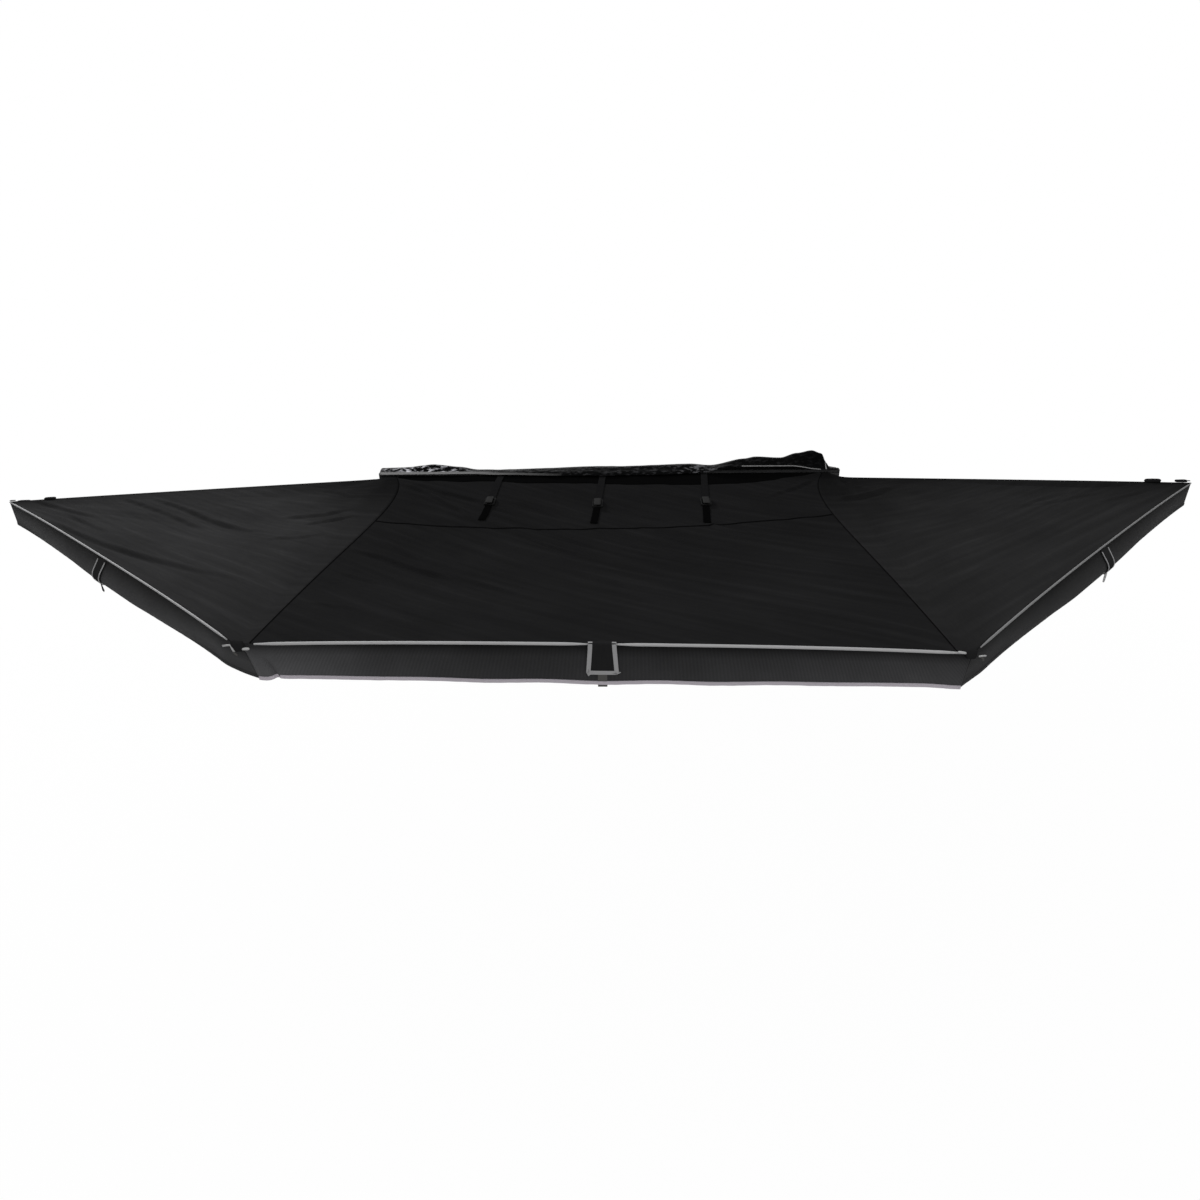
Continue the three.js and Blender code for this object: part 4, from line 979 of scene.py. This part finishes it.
def free_edges():
    edges = [Edge("front", None, front_edge_point, FORWARD, 2 * FRONT_PIVOT_X, ("left", "right"))]
    for end in ENDS:
        point_at = lambda share, end=end: wing_point(end, 1, share)
        along = point_at(1) - point_at(0)
        along.z = 0
        outward = Vector((end.side * along.y, -end.side * along.x, 0)).normalized()
        edges.append(Edge(end.name, end, point_at, outward, along.length, (end.name, None)))
    return edges


def valance_fall(edge, along):
    lowest = SIDE_VALANCE_DROP if edge.end else VALANCE_DROP
    return mix(VALANCE_END_DROP, lowest, math.sin(math.pi * along))


def valance_stand(edge, along, drop):
    """How far a valance stands out from below its edge."""
    if edge.end:
        near, far = SIDE_BELLY_RUN_SHARES
        window = smooth((along - SIDE_BELLY_START_SHARE) / near) * smooth((1 - along) / far)
        return window * (SIDE_BELLY * math.sin(math.pi * drop**SIDE_BELLY_SHARE) + SIDE_FLARE * drop)
    flare = mix(FRONT_FLARE_ENDS, FRONT_FLARE_MIDDLE, math.sin(math.pi * along))
    pairs = round(edge.length / (2 * HEM_WAVE_LENGTH))
    wave = HEM_WAVE_DEPTH * drop * bulge(2 * pairs * along) * bulge(along)
    from_dart = along * edge.length - mix(*DART_PLACES, drop)
    dart = DART_DEPTH * math.exp(-((from_dart / DART_HALF_WIDTH) ** 2)) * smooth((drop - 0.25) / 0.4)
    return flare * drop**2 - wave - dart


def valance_point(edge, along, drop):
    point = edge.point_at(along) + edge.outward * (SEAM_GAP + valance_stand(edge, along, drop))
    point.z -= valance_fall(edge, along) * drop
    for corner, distance in zip(edge.corners, (along * edge.length, (1 - along) * edge.length)):
        if corner:
            near = 1 - distance / CORNER_REACH
            point += Vector(CORNER_DRAWS[corner]) * drop * smooth(near)
            point += Vector(CORNER_ROUNDS[corner]) * max(0.0, near) ** 2 * smooth(drop / CORNER_ROUND_SHARE)
    return point


def make_valance(edge):
    def surface(u, v):
        return valance_point(edge, u if edge.end is LEFT else 1 - u, v)

    size = (edge.length, mix(VALANCE_END_DROP, VALANCE_DROP, 2 / math.pi))
    columns = round(edge.length / VALANCE_COLUMN)
    cloth = VALANCE_CLOTHS[edge.name]
    sheet = cloth_grid(f"{edge.name}_valance_cloth", columns, 24, surface, size, cloth, VALANCE_THICKNESS)
    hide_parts(f"{edge.name}_valance")
    follow(sheet, edge.end)


def edge_path(low, high, length, step_length, point_at):
    steps = max(8, round(length * (high - low) / step_length))
    return [point_at(mix(low, high, share)) for share in shares(steps)]


def make_piping(edge, low, high, name, radius=PIPING_RADIUS):
    def lifted(share):
        return edge.point_at(share) + edge.outward * PIPING_OUT + UP * PIPING_LIFT

    path = edge_path(low, high, edge.length, PIPING_STEP, lifted)
    rings = []
    for index, place in enumerate(path):
        tangent = tangent_at(path, index)
        side = tangent.cross(UP).normalized()
        taper = mix(0.55, 1.0, smooth(min(index, len(path) - 1 - index) / 3))
        rings.append(ring_at(place, side, side.cross(tangent), circle(radius), taper))
    follow(loft(name, rings, PIPING_CLOTHS[edge.name]), edge.end)


def make_hem(edge):
    path = edge_path(0.0, 1.0, edge.length, HEM_STEP, lambda share: valance_point(edge, share, 1.0))
    inner, outer = HEM_TAPE_SIDES
    rings = []
    for index, place in enumerate(path):
        tangent = tangent_at(path, index)
        out = (edge.outward - tangent * edge.outward.dot(tangent)).normalized()
        up = UP - tangent * UP.dot(tangent)
        ripple = HEM_RIPPLE * noise.noise(Vector((index * 0.35, edge.length, 0)))
        outline = rectangle((inner, HEM_TAPE_FOOT - ripple), (outer, HEM_TAPE_HEIGHT))
        rings.append(ring_at(place, out, up, outline))
    cloth = SIDE_HEM_CLOTH if edge.end else HEM_CLOTH
    follow(loft(f"{edge.name}_hem", rings, cloth, smooth_faces=False), edge.end)


def make_edges():
    for edge in free_edges():
        make_valance(edge)
        if edge.end:
            make_piping(edge, *SIDE_PIPING_SHARES, f"{edge.name}_piping", SIDE_PIPING_RADIUS)
        else:
            low, high = FRONT_PIPING_SHARES
            gap = TAB_GAP_HALF / edge.length
            make_piping(edge, low, 0.5 - gap, "front_piping")
            make_piping(edge, 0.5 + gap + TAB_GAP_SHIFT_SHARE, high, "front_piping_right")
        make_hem(edge)


# Tabs

# Width at the top and at the foot, reach back over the edge, shift along it, binding and cloth
Tab = namedtuple("Tab", "top foot backset shift binding cloth")
FRONT_TAB = Tab(0.072, 0.088, 0.014, 0.004, 0.0115, TAB_CLOTH)
SIDE_TAB = Tab(0.070, 0.062, -0.005, 0.015, 0.0060, SIDE_TAB_CLOTH)
TAB_DROP = 0.088
TAB_THICKNESS = 0.0014
TAB_CLEARANCE = 0.0022
TAB_CROWN = 0.004
# The front tab rounds over the piping: its rise behind it, and how far it stands off in front
TAB_BACK_RISE = 0.0024
TAB_BACK_ROUND = 0.004
TAB_BACK_RUN = 0.006
TAB_FRONT_ROUND = 0.0045
TAB_FRONT_RUN = 0.03
TAB_TOP_RISE = 0.0064
TAB_TOP_RUN = 0.012
BINDING_LIFT = 0.0004
NEAR_SHARE = 0.02
BINDING_THICKNESS = 0.0012
# Webbing below the front tab
TAIL_TUCK = 0.004
TAIL_LENGTH = 0.037
TAIL_BEHIND = 0.001
TAIL_CURL = 0.002
TAIL_HALF_WIDTH = 0.0125
TAIL_THICKNESS = 0.0018
# Webbing below the side tabs: a loop at the right, strands of a lean and a length at the left
LOOP_HALF_WIDTH = 0.007
LOOP_HALF_HEIGHT = 0.021
LOOP_DROP = 0.017
LOOP_WEBBING = (0.0045, 0.0022)
STRANDS = [(-0.011, 0.030), (-0.003, 0.036), (0.006, 0.033)]
STRAND_TUCK = 0.004
STRAND_WEBBING = (0.005, 0.002)


def tab_of(edge):
    return SIDE_TAB if edge.end else FRONT_TAB


def tab_point(edge, across, drop, lift):
    """A place on the front of a tab, by metres across and metres down from the canopy's edge."""
    along = 0.5 + (tab_of(edge).shift + across) / edge.length
    if drop < 0:
        place = edge.point_at(along) + edge.outward * (drop + TAB_CLEARANCE)
        return place + UP * (TAB_BACK_RISE + TAB_BACK_ROUND * smooth(1 + drop / TAB_BACK_RUN) + lift)
    place = valance_point(edge, along, drop / valance_fall(edge, along))
    place += edge.outward * (TAB_CLEARANCE + lift)
    if edge.end is None:
        place += edge.outward * TAB_FRONT_ROUND * (1 - smooth(drop / TAB_FRONT_RUN))
        place += UP * TAB_TOP_RISE * (1 - smooth(drop / TAB_TOP_RUN))
    return place


def make_tab(edge):
    tab = tab_of(edge)
    flip = -1 if edge.end is LEFT else 1

    def surface(u, v):
        drop = mix(-tab.backset, TAB_DROP, v)
        share = clamp(drop / TAB_DROP)
        across = flip * (0.5 - u) * mix(tab.top, tab.foot, share)
        return tab_point(edge, across, drop, TAB_CROWN * math.sin(math.pi * share))

    height = TAB_DROP + tab.backset
    size = (tab.foot, height)
    sheet = cloth_grid(f"{edge.name}_tab_cloth", 16, 34, surface, size, tab.cloth, TAB_THICKNESS)
    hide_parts(f"{edge.name}_tab")
    follow(sheet, edge.end)
    make_binding(edge, tab, surface)


def make_binding(edge, tab, surface):
    """A grey tape down one side of a tab, along its foot and up the other side."""
    inset = 0.5 * tab.binding / tab.foot
    side = [(inset, min(step / 24, 1 - inset)) for step in range(2, 24)]
    places = side + [(mix(inset, 1 - inset, share), 1 - inset) for share in shares(12)]
    places += [(1 - u, v) for u, v in reversed(side)]
    path, normals = [], []
    for u, v in places:
        across = surface(min(1, u + NEAR_SHARE), v) - surface(max(0, u - NEAR_SHARE), v)
        down = surface(u, min(1, v + NEAR_SHARE)) - surface(u, max(0, v - NEAR_SHARE))
        normal = across.cross(down).normalized()
        if normal.dot(edge.outward + UP * 0.5) < 0:
            normal.negate()
        path.append(surface(u, v) + normal * BINDING_LIFT)
        normals.append(normal)
    name = f"{edge.name}_tab_binding"
    tape = ribbon(name, path, normals, tab.binding / 2, BINDING_THICKNESS, BINDING_CLOTH)
    follow(tape, edge.end)


def make_front_tail(edge):
    path = []
    for share in shares(8):
        place = tab_point(edge, 0, TAB_DROP, -TAIL_BEHIND)
        place.z -= mix(-TAIL_TUCK, TAIL_LENGTH, share)
        path.append(place + edge.outward * TAIL_CURL * math.sin(math.pi * share))
    normals = [edge.outward] * len(path)
    tail = ribbon("front_tail", path, normals, TAIL_HALF_WIDTH, TAIL_THICKNESS, GREY_WEBBING)
    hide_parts("front_tab_tail")
    follow(tail, edge.end)


def make_right_loop(edge, foot, along):
    path = []
    for share in shares(24)[:-1]:
        turn = 2 * math.pi * share
        height = LOOP_HALF_HEIGHT * math.cos(turn) - LOOP_DROP
        path.append(foot + along * LOOP_HALF_WIDTH * math.sin(turn) + UP * height)
    loop = sweep("right_tab_loop", path, pillow(*LOOP_WEBBING, 8), edge.outward, LIGHT_WEBBING, True)
    follow(loop, edge.end)


def make_left_strands(edge, foot, along):
    for number, (lean, reach) in enumerate(STRANDS, 1):
        path = [foot + along * lean * share**1.5 + UP * (STRAND_TUCK - reach * share) for share in shares(6)]
        strand = sweep(f"left_tab_strand_{number}", path, pillow(*STRAND_WEBBING, 8), along, BLACK_WEBBING)
        follow(strand, edge.end)


def make_tabs():
    for edge in free_edges():
        make_tab(edge)
        if edge.end is None:
            make_front_tail(edge)
            continue
        along = edge.point_at(0.55) - edge.point_at(0.45)
        along.z = 0
        make_webbing = make_left_strands if edge.end is LEFT else make_right_loop
        make_webbing(edge, tab_point(edge, 0, TAB_DROP, 0.0), along.normalized())


# Straps

STRAP_WIDTH = 0.028
STRAP_THICKNESS = 0.0016
STRAP_LIFT = 0.0021
# The strap climbs over the buckle: its rise there, and half its flat length and its ramp's length
BUCKLE_RISE = 0.0073
BUCKLE_FLAT = 0.005
BUCKLE_RAMP = 0.016
# The grey webbing wrapped round the buckle's bars
WRAP_REACH = (-0.024, 0.034)
WRAP_RISE = 0.0158
WRAP_CROWN = 0.0016
WRAP_RIPPLE = 0.0004
WRAP_WEBBING = (0.027, 0.0030)


def make_strap(name, x):
    path = []
    for share in shares(100):
        distance = mix(STRAP_START, STRAP_START + STRAP_LENGTH, share)
        over = smooth(1 - (abs(distance - BUCKLE_DISTANCE) - BUCKLE_FLAT) / BUCKLE_RAMP)
        place = on_centre(x + STRAP_LEANS[name] * (distance - BUCKLE_DISTANCE), distance)
        path.append(place + UP * (STRAP_LIFT + BUCKLE_RISE * over))
    outline = rectangle((-STRAP_WIDTH / 2, 0), (STRAP_WIDTH / 2, STRAP_THICKNESS))
    strap = sweep(f"{name}_webbing", path, outline, LEFTWARD, STRAP_WEBBING, smooth_faces=False)
    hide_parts(f"{name}_strap")
    follow(strap, None)


def make_buckle(name):
    mesh = frame["nodes"][f"{name}_buckle"].data.copy()
    mesh.materials.clear()
    mesh.materials.append(BUCKLE_PLASTIC)
    buckle = bpy.data.objects.new(f"{name}_three_bar_buckle", mesh)
    bpy.context.scene.collection.objects.link(buckle)
    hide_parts(f"{name}_buckle")
    follow(buckle, None)


def make_buckle_wrap(name, x):
    path = []
    for share in shares(16):
        rise = WRAP_RISE + WRAP_CROWN * arch(share) + WRAP_RIPPLE * math.sin(6 * math.pi * share)
        path.append(on_centre(x, BUCKLE_DISTANCE + mix(*WRAP_REACH, share)) + UP * rise)
    wrap = sweep(f"{name}_buckle_wrap", path, pillow(*WRAP_WEBBING, 16, 8), LEFTWARD, BUCKLE_WEBBING)
    follow(wrap, None)


def make_straps():
    for name, x in STRAP_PLACES.items():
        make_strap(name, x)
        make_buckle(name)
        make_buckle_wrap(name, x)


# Bag cover

COVER_FLAT = (2 * RAIL_HALF, 0.26)
COVER_THICKNESS = 0.0018
COVER_RISE = 0.074
COVER_CREST_DEPTH = 0.014
COVER_BACK_DEPTH = 0.120
COVER_HANG = 0.082
COVER_SEAT = RAIL_TOP + 0.0023
COVER_SHOULDER_DEPTH = -0.016
COVER_SHOULDER_RISE = 0.002
COVER_LIP_RISE = 0.004
# Shares of the cover's width, from its front lip to its back hem
COVER_LIP_SHARE = 0.16
COVER_RISE_SHARE = 0.35
# Along the rail: share of its half length, then the crest's share of the rise
COVER_CREST_SHARES = [
    (-1.0, 0.12),
    (-0.889, 0.20),
    (-0.781, 0.32),
    (-0.663, 0.17),
    (-0.571, 0.0),
    (-0.474, -0.05),
    (-0.297, 0.04),
    (-0.033, 0.10),
    (0.186, 0.16),
    (0.360, 0.23),
    (0.448, 0.13),
    (0.598, 0.53),
    (0.645, 0.63),
    (0.753, 0.55),
    (0.824, 0.84),
    (0.885, 0.99),
    (0.925, 0.82),
    (0.952, 0.24),
    (0.965, 0.0),
    (1.0, -0.08),
]
# Along the rail: share of its half length, then the front lip's depth and height
COVER_LIP = [
    (-1.0, -0.022, 0.047),
    (-0.98, -0.026, 0.047),
    (-0.60, -0.026, 0.047),
    (-0.47, -0.034, 0.044),
    (-0.20, -0.046, 0.041),
    (0.23, -0.043, 0.041),
    (0.40, -0.030, 0.045),
    (0.54, -0.020, 0.068),
    (0.79, -0.020, 0.067),
    (0.92, -0.020, 0.051),
    (1.0, -0.018, 0.051),
]
COVER_CRUMPLE_LENGTH = 0.16
COVER_CRUMPLE_RISE = 0.0035
COVER_CRUMPLE_DEPTH = 0.004
# Tapes: shares of the rail's half length, then width
LEFT_TAPE = (-0.996, -0.20, 0.011)
RIGHT_TAPE = (0.58, 0.92, 0.0034)
TAPE_SHARE = 0.004
GUSSET_TAPE_PLACE_SHARE = 0.944
GUSSET_TAPE_SHARES = (0.03, 0.35)
GUSSET_TAPE_WIDTH = 0.0045
TAPE_LIFT = 0.0004
TAPE_THICKNESS = 0.0010


def cover_surface(along, fold):
    place = 2 * along - 1
    crest = COVER_SEAT + COVER_RISE * table_at(COVER_CREST_SHARES, place)[0]
    lip_y, lip_z = table_at(COVER_LIP, place)
    shoulder = max(COVER_SEAT + COVER_SHOULDER_RISE, lip_z + COVER_LIP_RISE)
    if fold <= COVER_LIP_SHARE:
        share = fold / COVER_LIP_SHARE
        y = mix(lip_y, COVER_SHOULDER_DEPTH, share)
        z = mix(lip_z, shoulder, math.sin(math.pi / 2 * share))
    elif fold <= COVER_RISE_SHARE:
        share = (fold - COVER_LIP_SHARE) / (COVER_RISE_SHARE - COVER_LIP_SHARE)
        y = mix(COVER_SHOULDER_DEPTH, COVER_CREST_DEPTH, share)
        z = mix(shoulder, crest, smooth(share))
        if y < COVER_LIP_RISE:
            z = max(z, COVER_SEAT)
    else:
        turn = math.pi / 2 * (fold - COVER_RISE_SHARE) / (1 - COVER_RISE_SHARE)
        y = mix(COVER_CREST_DEPTH, COVER_BACK_DEPTH, math.sin(turn))
        z = mix(crest, COVER_SEAT - COVER_HANG, 1 - math.cos(turn))
    point = Vector((place * RAIL_HALF, y, z))
    spread = Vector((point.x / COVER_CRUMPLE_LENGTH, fold * 2.4, 2.0))
    crumple = noise.noise(spread) + 0.4 * noise.noise(spread * 3.1 + Vector((3, 1, 0)))
    free = smooth(fold / 0.2) * (1 - 0.7 * smooth(place * 2))
    point.z += COVER_CRUMPLE_RISE * crumple * free
    point.y += COVER_CRUMPLE_DEPTH * noise.noise(spread + Vector((9, 0, 4))) * free
    return point


def make_cover_tape(name, places, width):
    """A grey tape sewn on the cover, through places as (along, fold), inside the front lip."""
    path, normals = [], []
    for place, fold in places:
        here = cover_surface((place + 1) / 2, fold)
        along = cover_surface((place + 1) / 2 + NEAR_SHARE / 10, fold) - here
        up = cover_surface((place + 1) / 2, fold + NEAR_SHARE) - here
        normal = along.cross(up).normalized()
        shift = up.normalized() * width / 2 if fold == TAPE_SHARE else Vector()
        path.append(here + shift + normal * TAPE_LIFT)
        normals.append(normal)
    tape = ribbon(name, path, normals, width / 2, TAPE_THICKNESS, COVER_TAPE)
    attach(tape, "root")


def make_cover():
    cover = cloth_grid("cover_flap", 340, 44, cover_surface, COVER_FLAT, COVER_VINYL, COVER_THICKNESS)
    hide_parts("bag_cover")
    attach(cover, "root")
    for name, (low, high, width) in (("left", LEFT_TAPE), ("right", RIGHT_TAPE)):
        places = [(mix(low, high, share), TAPE_SHARE) for share in shares(160)]
        make_cover_tape(f"{name}_cover_tape", places, width)
    gusset = [(GUSSET_TAPE_PLACE_SHARE, mix(*GUSSET_TAPE_SHARES, share)) for share in shares(20)]
    make_cover_tape("gusset_tape", gusset, GUSSET_TAPE_WIDTH)


# Corners and tips

LUMP_RIPPLE_SIZE = 1 / 60
# Pockets and folds at the front corners: name, ends, width, height and material
CORNER_LUMPS = [
    ("left_corner_pocket", (-0.9565, -1.522, 0.026), (-0.9235, -1.522, 0.026), 0.016, 0.031, TAB_CLOTH),
    ("left_corner_fold", (-0.9300, -1.526, 0.0195), (-0.9090, -1.524, 0.0185), 0.006, 0.0065, LIGHT_WEBBING),
    ("right_corner_pocket", (0.9290, -1.522, -0.002), (0.9570, -1.522, -0.002), 0.016, 0.028, TAB_CLOTH),
    ("right_corner_fold", (0.9080, -1.524, 0.0035), (0.9290, -1.526, 0.0010), 0.006, 0.0060, LIGHT_WEBBING),
]
LEFT_CORNER_LOOP = [
    (-0.9810, -1.519, 0.0245),
    (-0.9690, -1.523, 0.0285),
    (-0.9580, -1.526, 0.0310),
    (-0.9535, -1.528, 0.0290),
    (-0.9510, -1.530, 0.0220),
    (-0.9480, -1.530, 0.0130),
]
LEFT_CORNER_END = [(-0.9500, -1.531, 0.0125), (-0.9450, -1.532, 0.0080), (-0.9400, -1.532, 0.0035)]
RIGHT_CORNER_LOOP = [
    (0.9600, -1.529, -0.0070),
    (0.9680, -1.528, -0.0062),
    (0.9760, -1.526, -0.0068),
    (0.9810, -1.523, -0.0090),
]
RIGHT_CORNER_END = [(0.9680, -1.528, -0.0100), (0.9740, -1.526, -0.0160), (0.9760, -1.525, -0.0220)]
# Webbing at the front corners: name, places, width and thickness, material
CORNER_LOOPS = [
    ("left_corner_loop", LEFT_CORNER_LOOP, (0.0022, 0.0055), LIGHT_WEBBING),
    ("left_corner_end", LEFT_CORNER_END, (0.0020, 0.0050), GREY_WEBBING),
    ("right_corner_loop", RIGHT_CORNER_LOOP, (0.0022, 0.0050), LIGHT_WEBBING),
    ("right_corner_end", RIGHT_CORNER_END, (0.0020, 0.0050), GREY_WEBBING),
]
# Bundles on the canopy's back edge: name, end, low and high reach along the arm, height, width, rise
TIP_LUMPS = [
    ("right_back_tie", RIGHT, 1.277, 1.347, 0.0150, 0.020, 0.0055),
    ("right_tip_fold", RIGHT, 1.405, 1.457, 0.0100, 0.018, 0.0030),
    ("right_tip_pull", RIGHT, 1.4560, 1.4690, 0.0035, 0.006, 0.0030),
    ("left_back_tie", LEFT, 1.296, 1.342, 0.0090, 0.018, 0.0330),
    ("left_tip_fold", LEFT, 1.395, 1.448, 0.0070, 0.016, 0.0270),
    ("left_tip_pull", LEFT, 1.4500, 1.4740, 0.0035, 0.006, 0.0320),
]


def make_lump(name, first, last, width, height, material, end):
    """A soft bundle from one place to another, rounded at both ends."""
    side = (last - first).cross(UP).normalized()
    up = side.cross((last - first).normalized())
    rings = []
    for share in shares(12):
        fullness = math.sqrt(max(0.02, 1 - (2 * share - 1) ** 6))
        place = first.lerp(last, share)
        ripple = 1 + 0.10 * noise.noise(place / LUMP_RIPPLE_SIZE)
        rings.append(ring_at(place, side, up, pillow(width, height), fullness * ripple))
    follow(loft(name, rings, material), end)


def make_corners():
    for name, first, last, width, height, material in CORNER_LUMPS:
        make_lump(name, Vector(first), Vector(last), width, height, material, None)
    for name, path, size, material in CORNER_LOOPS:
        loop = sweep(name, [Vector(place) for place in path], pillow(*size, 8), FORWARD, material)
        follow(loop, None)


def make_tips():
    for name, end, low, high, height, width, level in TIP_LUMPS:
        start = side_pivot(end) + UP * level
        first, last = [start + side_arm_direction(end) * reach for reach in (low, high)]
        make_lump(name, first, last, width, height, TAB_CLOTH, end)


# Carried-over parts


def finish_nodes():
    by_slot = {"black_steel": BLACK_STEEL, "zinc_steel": ZINC_STEEL, "black_plastic": BLACK_PLASTIC}
    by_arm = {
        "left_front": FRONT_ARM_ALUMINIUM,
        "right_front": FRONT_ARM_ALUMINIUM,
        "left": LEFT_ARM_ALUMINIUM,
        "right": RIGHT_ARM_ALUMINIUM,
    }
    slot_of = {part["node"]: part["material_slot"] for part in frame["record"]["subparts"]}
    for name, node in frame["nodes"].items():
        material = by_slot.get(slot_of[name])
        if slot_of[name] == "aluminium":
            matches = [arm for start, arm in by_arm.items() if name.startswith(start)]
            material = matches[0] if matches else RAIL_ALUMINIUM
        if material:
            for material_slot in node.material_slots:
                material_slot.material = material


# Stage and light

FLOOR_HEIGHT = -1.95
FLOOR_HALF = 30.0
# The floor turns white from one distance to the other
FLOOR_RANGE = (2.5, 6.0)
FLOOR_STOPS = [(0, 0.975), (1, 1.0)]
WORLD_LIGHT = 0.32
# Place, target, size and power in watts
LIGHTS = {
    "key": ((-3.4, 3.0, 2.6), (-0.3, -0.8, 0), (1.6, 1.0), 190),
    "top": ((0.3, -1.6, 4.0), (0, -1.0, 0), (3.0, 2.0), 42),
    "front_fill": ((1.0, -5.0, 1.6), (0, -1.0, 0), (3.5, 2.0), 38),
}


def seen_ray(tree):
    """One for the rays that show a surface, to the eye or through gloss and glass."""
    ray = add_node(tree, "LightPath", {})
    seen = math_node(tree, "MAXIMUM", ray.outputs["Is Camera Ray"], ray.outputs["Is Glossy Ray"])
    return math_node(tree, "MAXIMUM", seen, ray.outputs["Is Transmission Ray"])


def make_floor():
    material, tree, shader = new_material("pale_floor", (0.9, 0.9, 0.9), 0.9, specular=0.0)
    glow = add_node(tree, "Emission", {"Strength": 1.0})
    away = add_node(tree, "VectorMath", {0: coordinates(tree, "Object")}, operation="LENGTH")
    share = stepped(tree, away.outputs["Value"], *FLOOR_RANGE, FLOOR_STOPS)
    seen = math_node(tree, "MULTIPLY", seen_ray(tree), share)
    inputs = {"Fac": seen, 1: shader.outputs["BSDF"], 2: glow.outputs["Emission"]}
    blend = add_node(tree, "MixShader", inputs)
    tree.links.new(blend.outputs["Shader"], tree.nodes["Material Output"].inputs["Surface"])
    corners = rectangle((-FLOOR_HALF, -FLOOR_HALF), (FLOOR_HALF, FLOOR_HALF))
    floor = new_object("floor", [(x, y, FLOOR_HEIGHT) for x, y in corners], [(0, 1, 2, 3)], material)


def make_world():
    world = bpy.data.worlds.new("studio")
    world.use_nodes = True
    tree = world.node_tree
    background = tree.nodes["Background"]
    background.inputs["Color"].default_value = (1, 1, 1, 1)
    extra = math_node(tree, "MULTIPLY", seen_ray(tree), 1 - WORLD_LIGHT)
    tree.links.new(math_node(tree, "ADD", extra, WORLD_LIGHT), background.inputs["Strength"])
    bpy.context.scene.world = world


def make_lights():
    for name, (place, target, size, power) in LIGHTS.items():
        data = bpy.data.lights.new(name, "AREA")
        data.shape = "RECTANGLE"
        data.size, data.size_y = size
        data.energy = power
        light = bpy.data.objects.new(name, data)
        light.location = place
        light.rotation_mode = "QUATERNION"
        light.rotation_quaternion = (Vector(target) - Vector(place)).to_track_quat("-Z", "Y")
        bpy.context.scene.collection.objects.link(light)


make_camera()
make_floor()
make_world()
make_lights()
make_canopy()
make_seams()
make_edges()
make_tabs()
make_straps()
make_cover()
make_painted_shadow_band()
make_corners()
make_tips()
finish_nodes()

bpy.context.scene.view_settings.view_transform = "Standard"
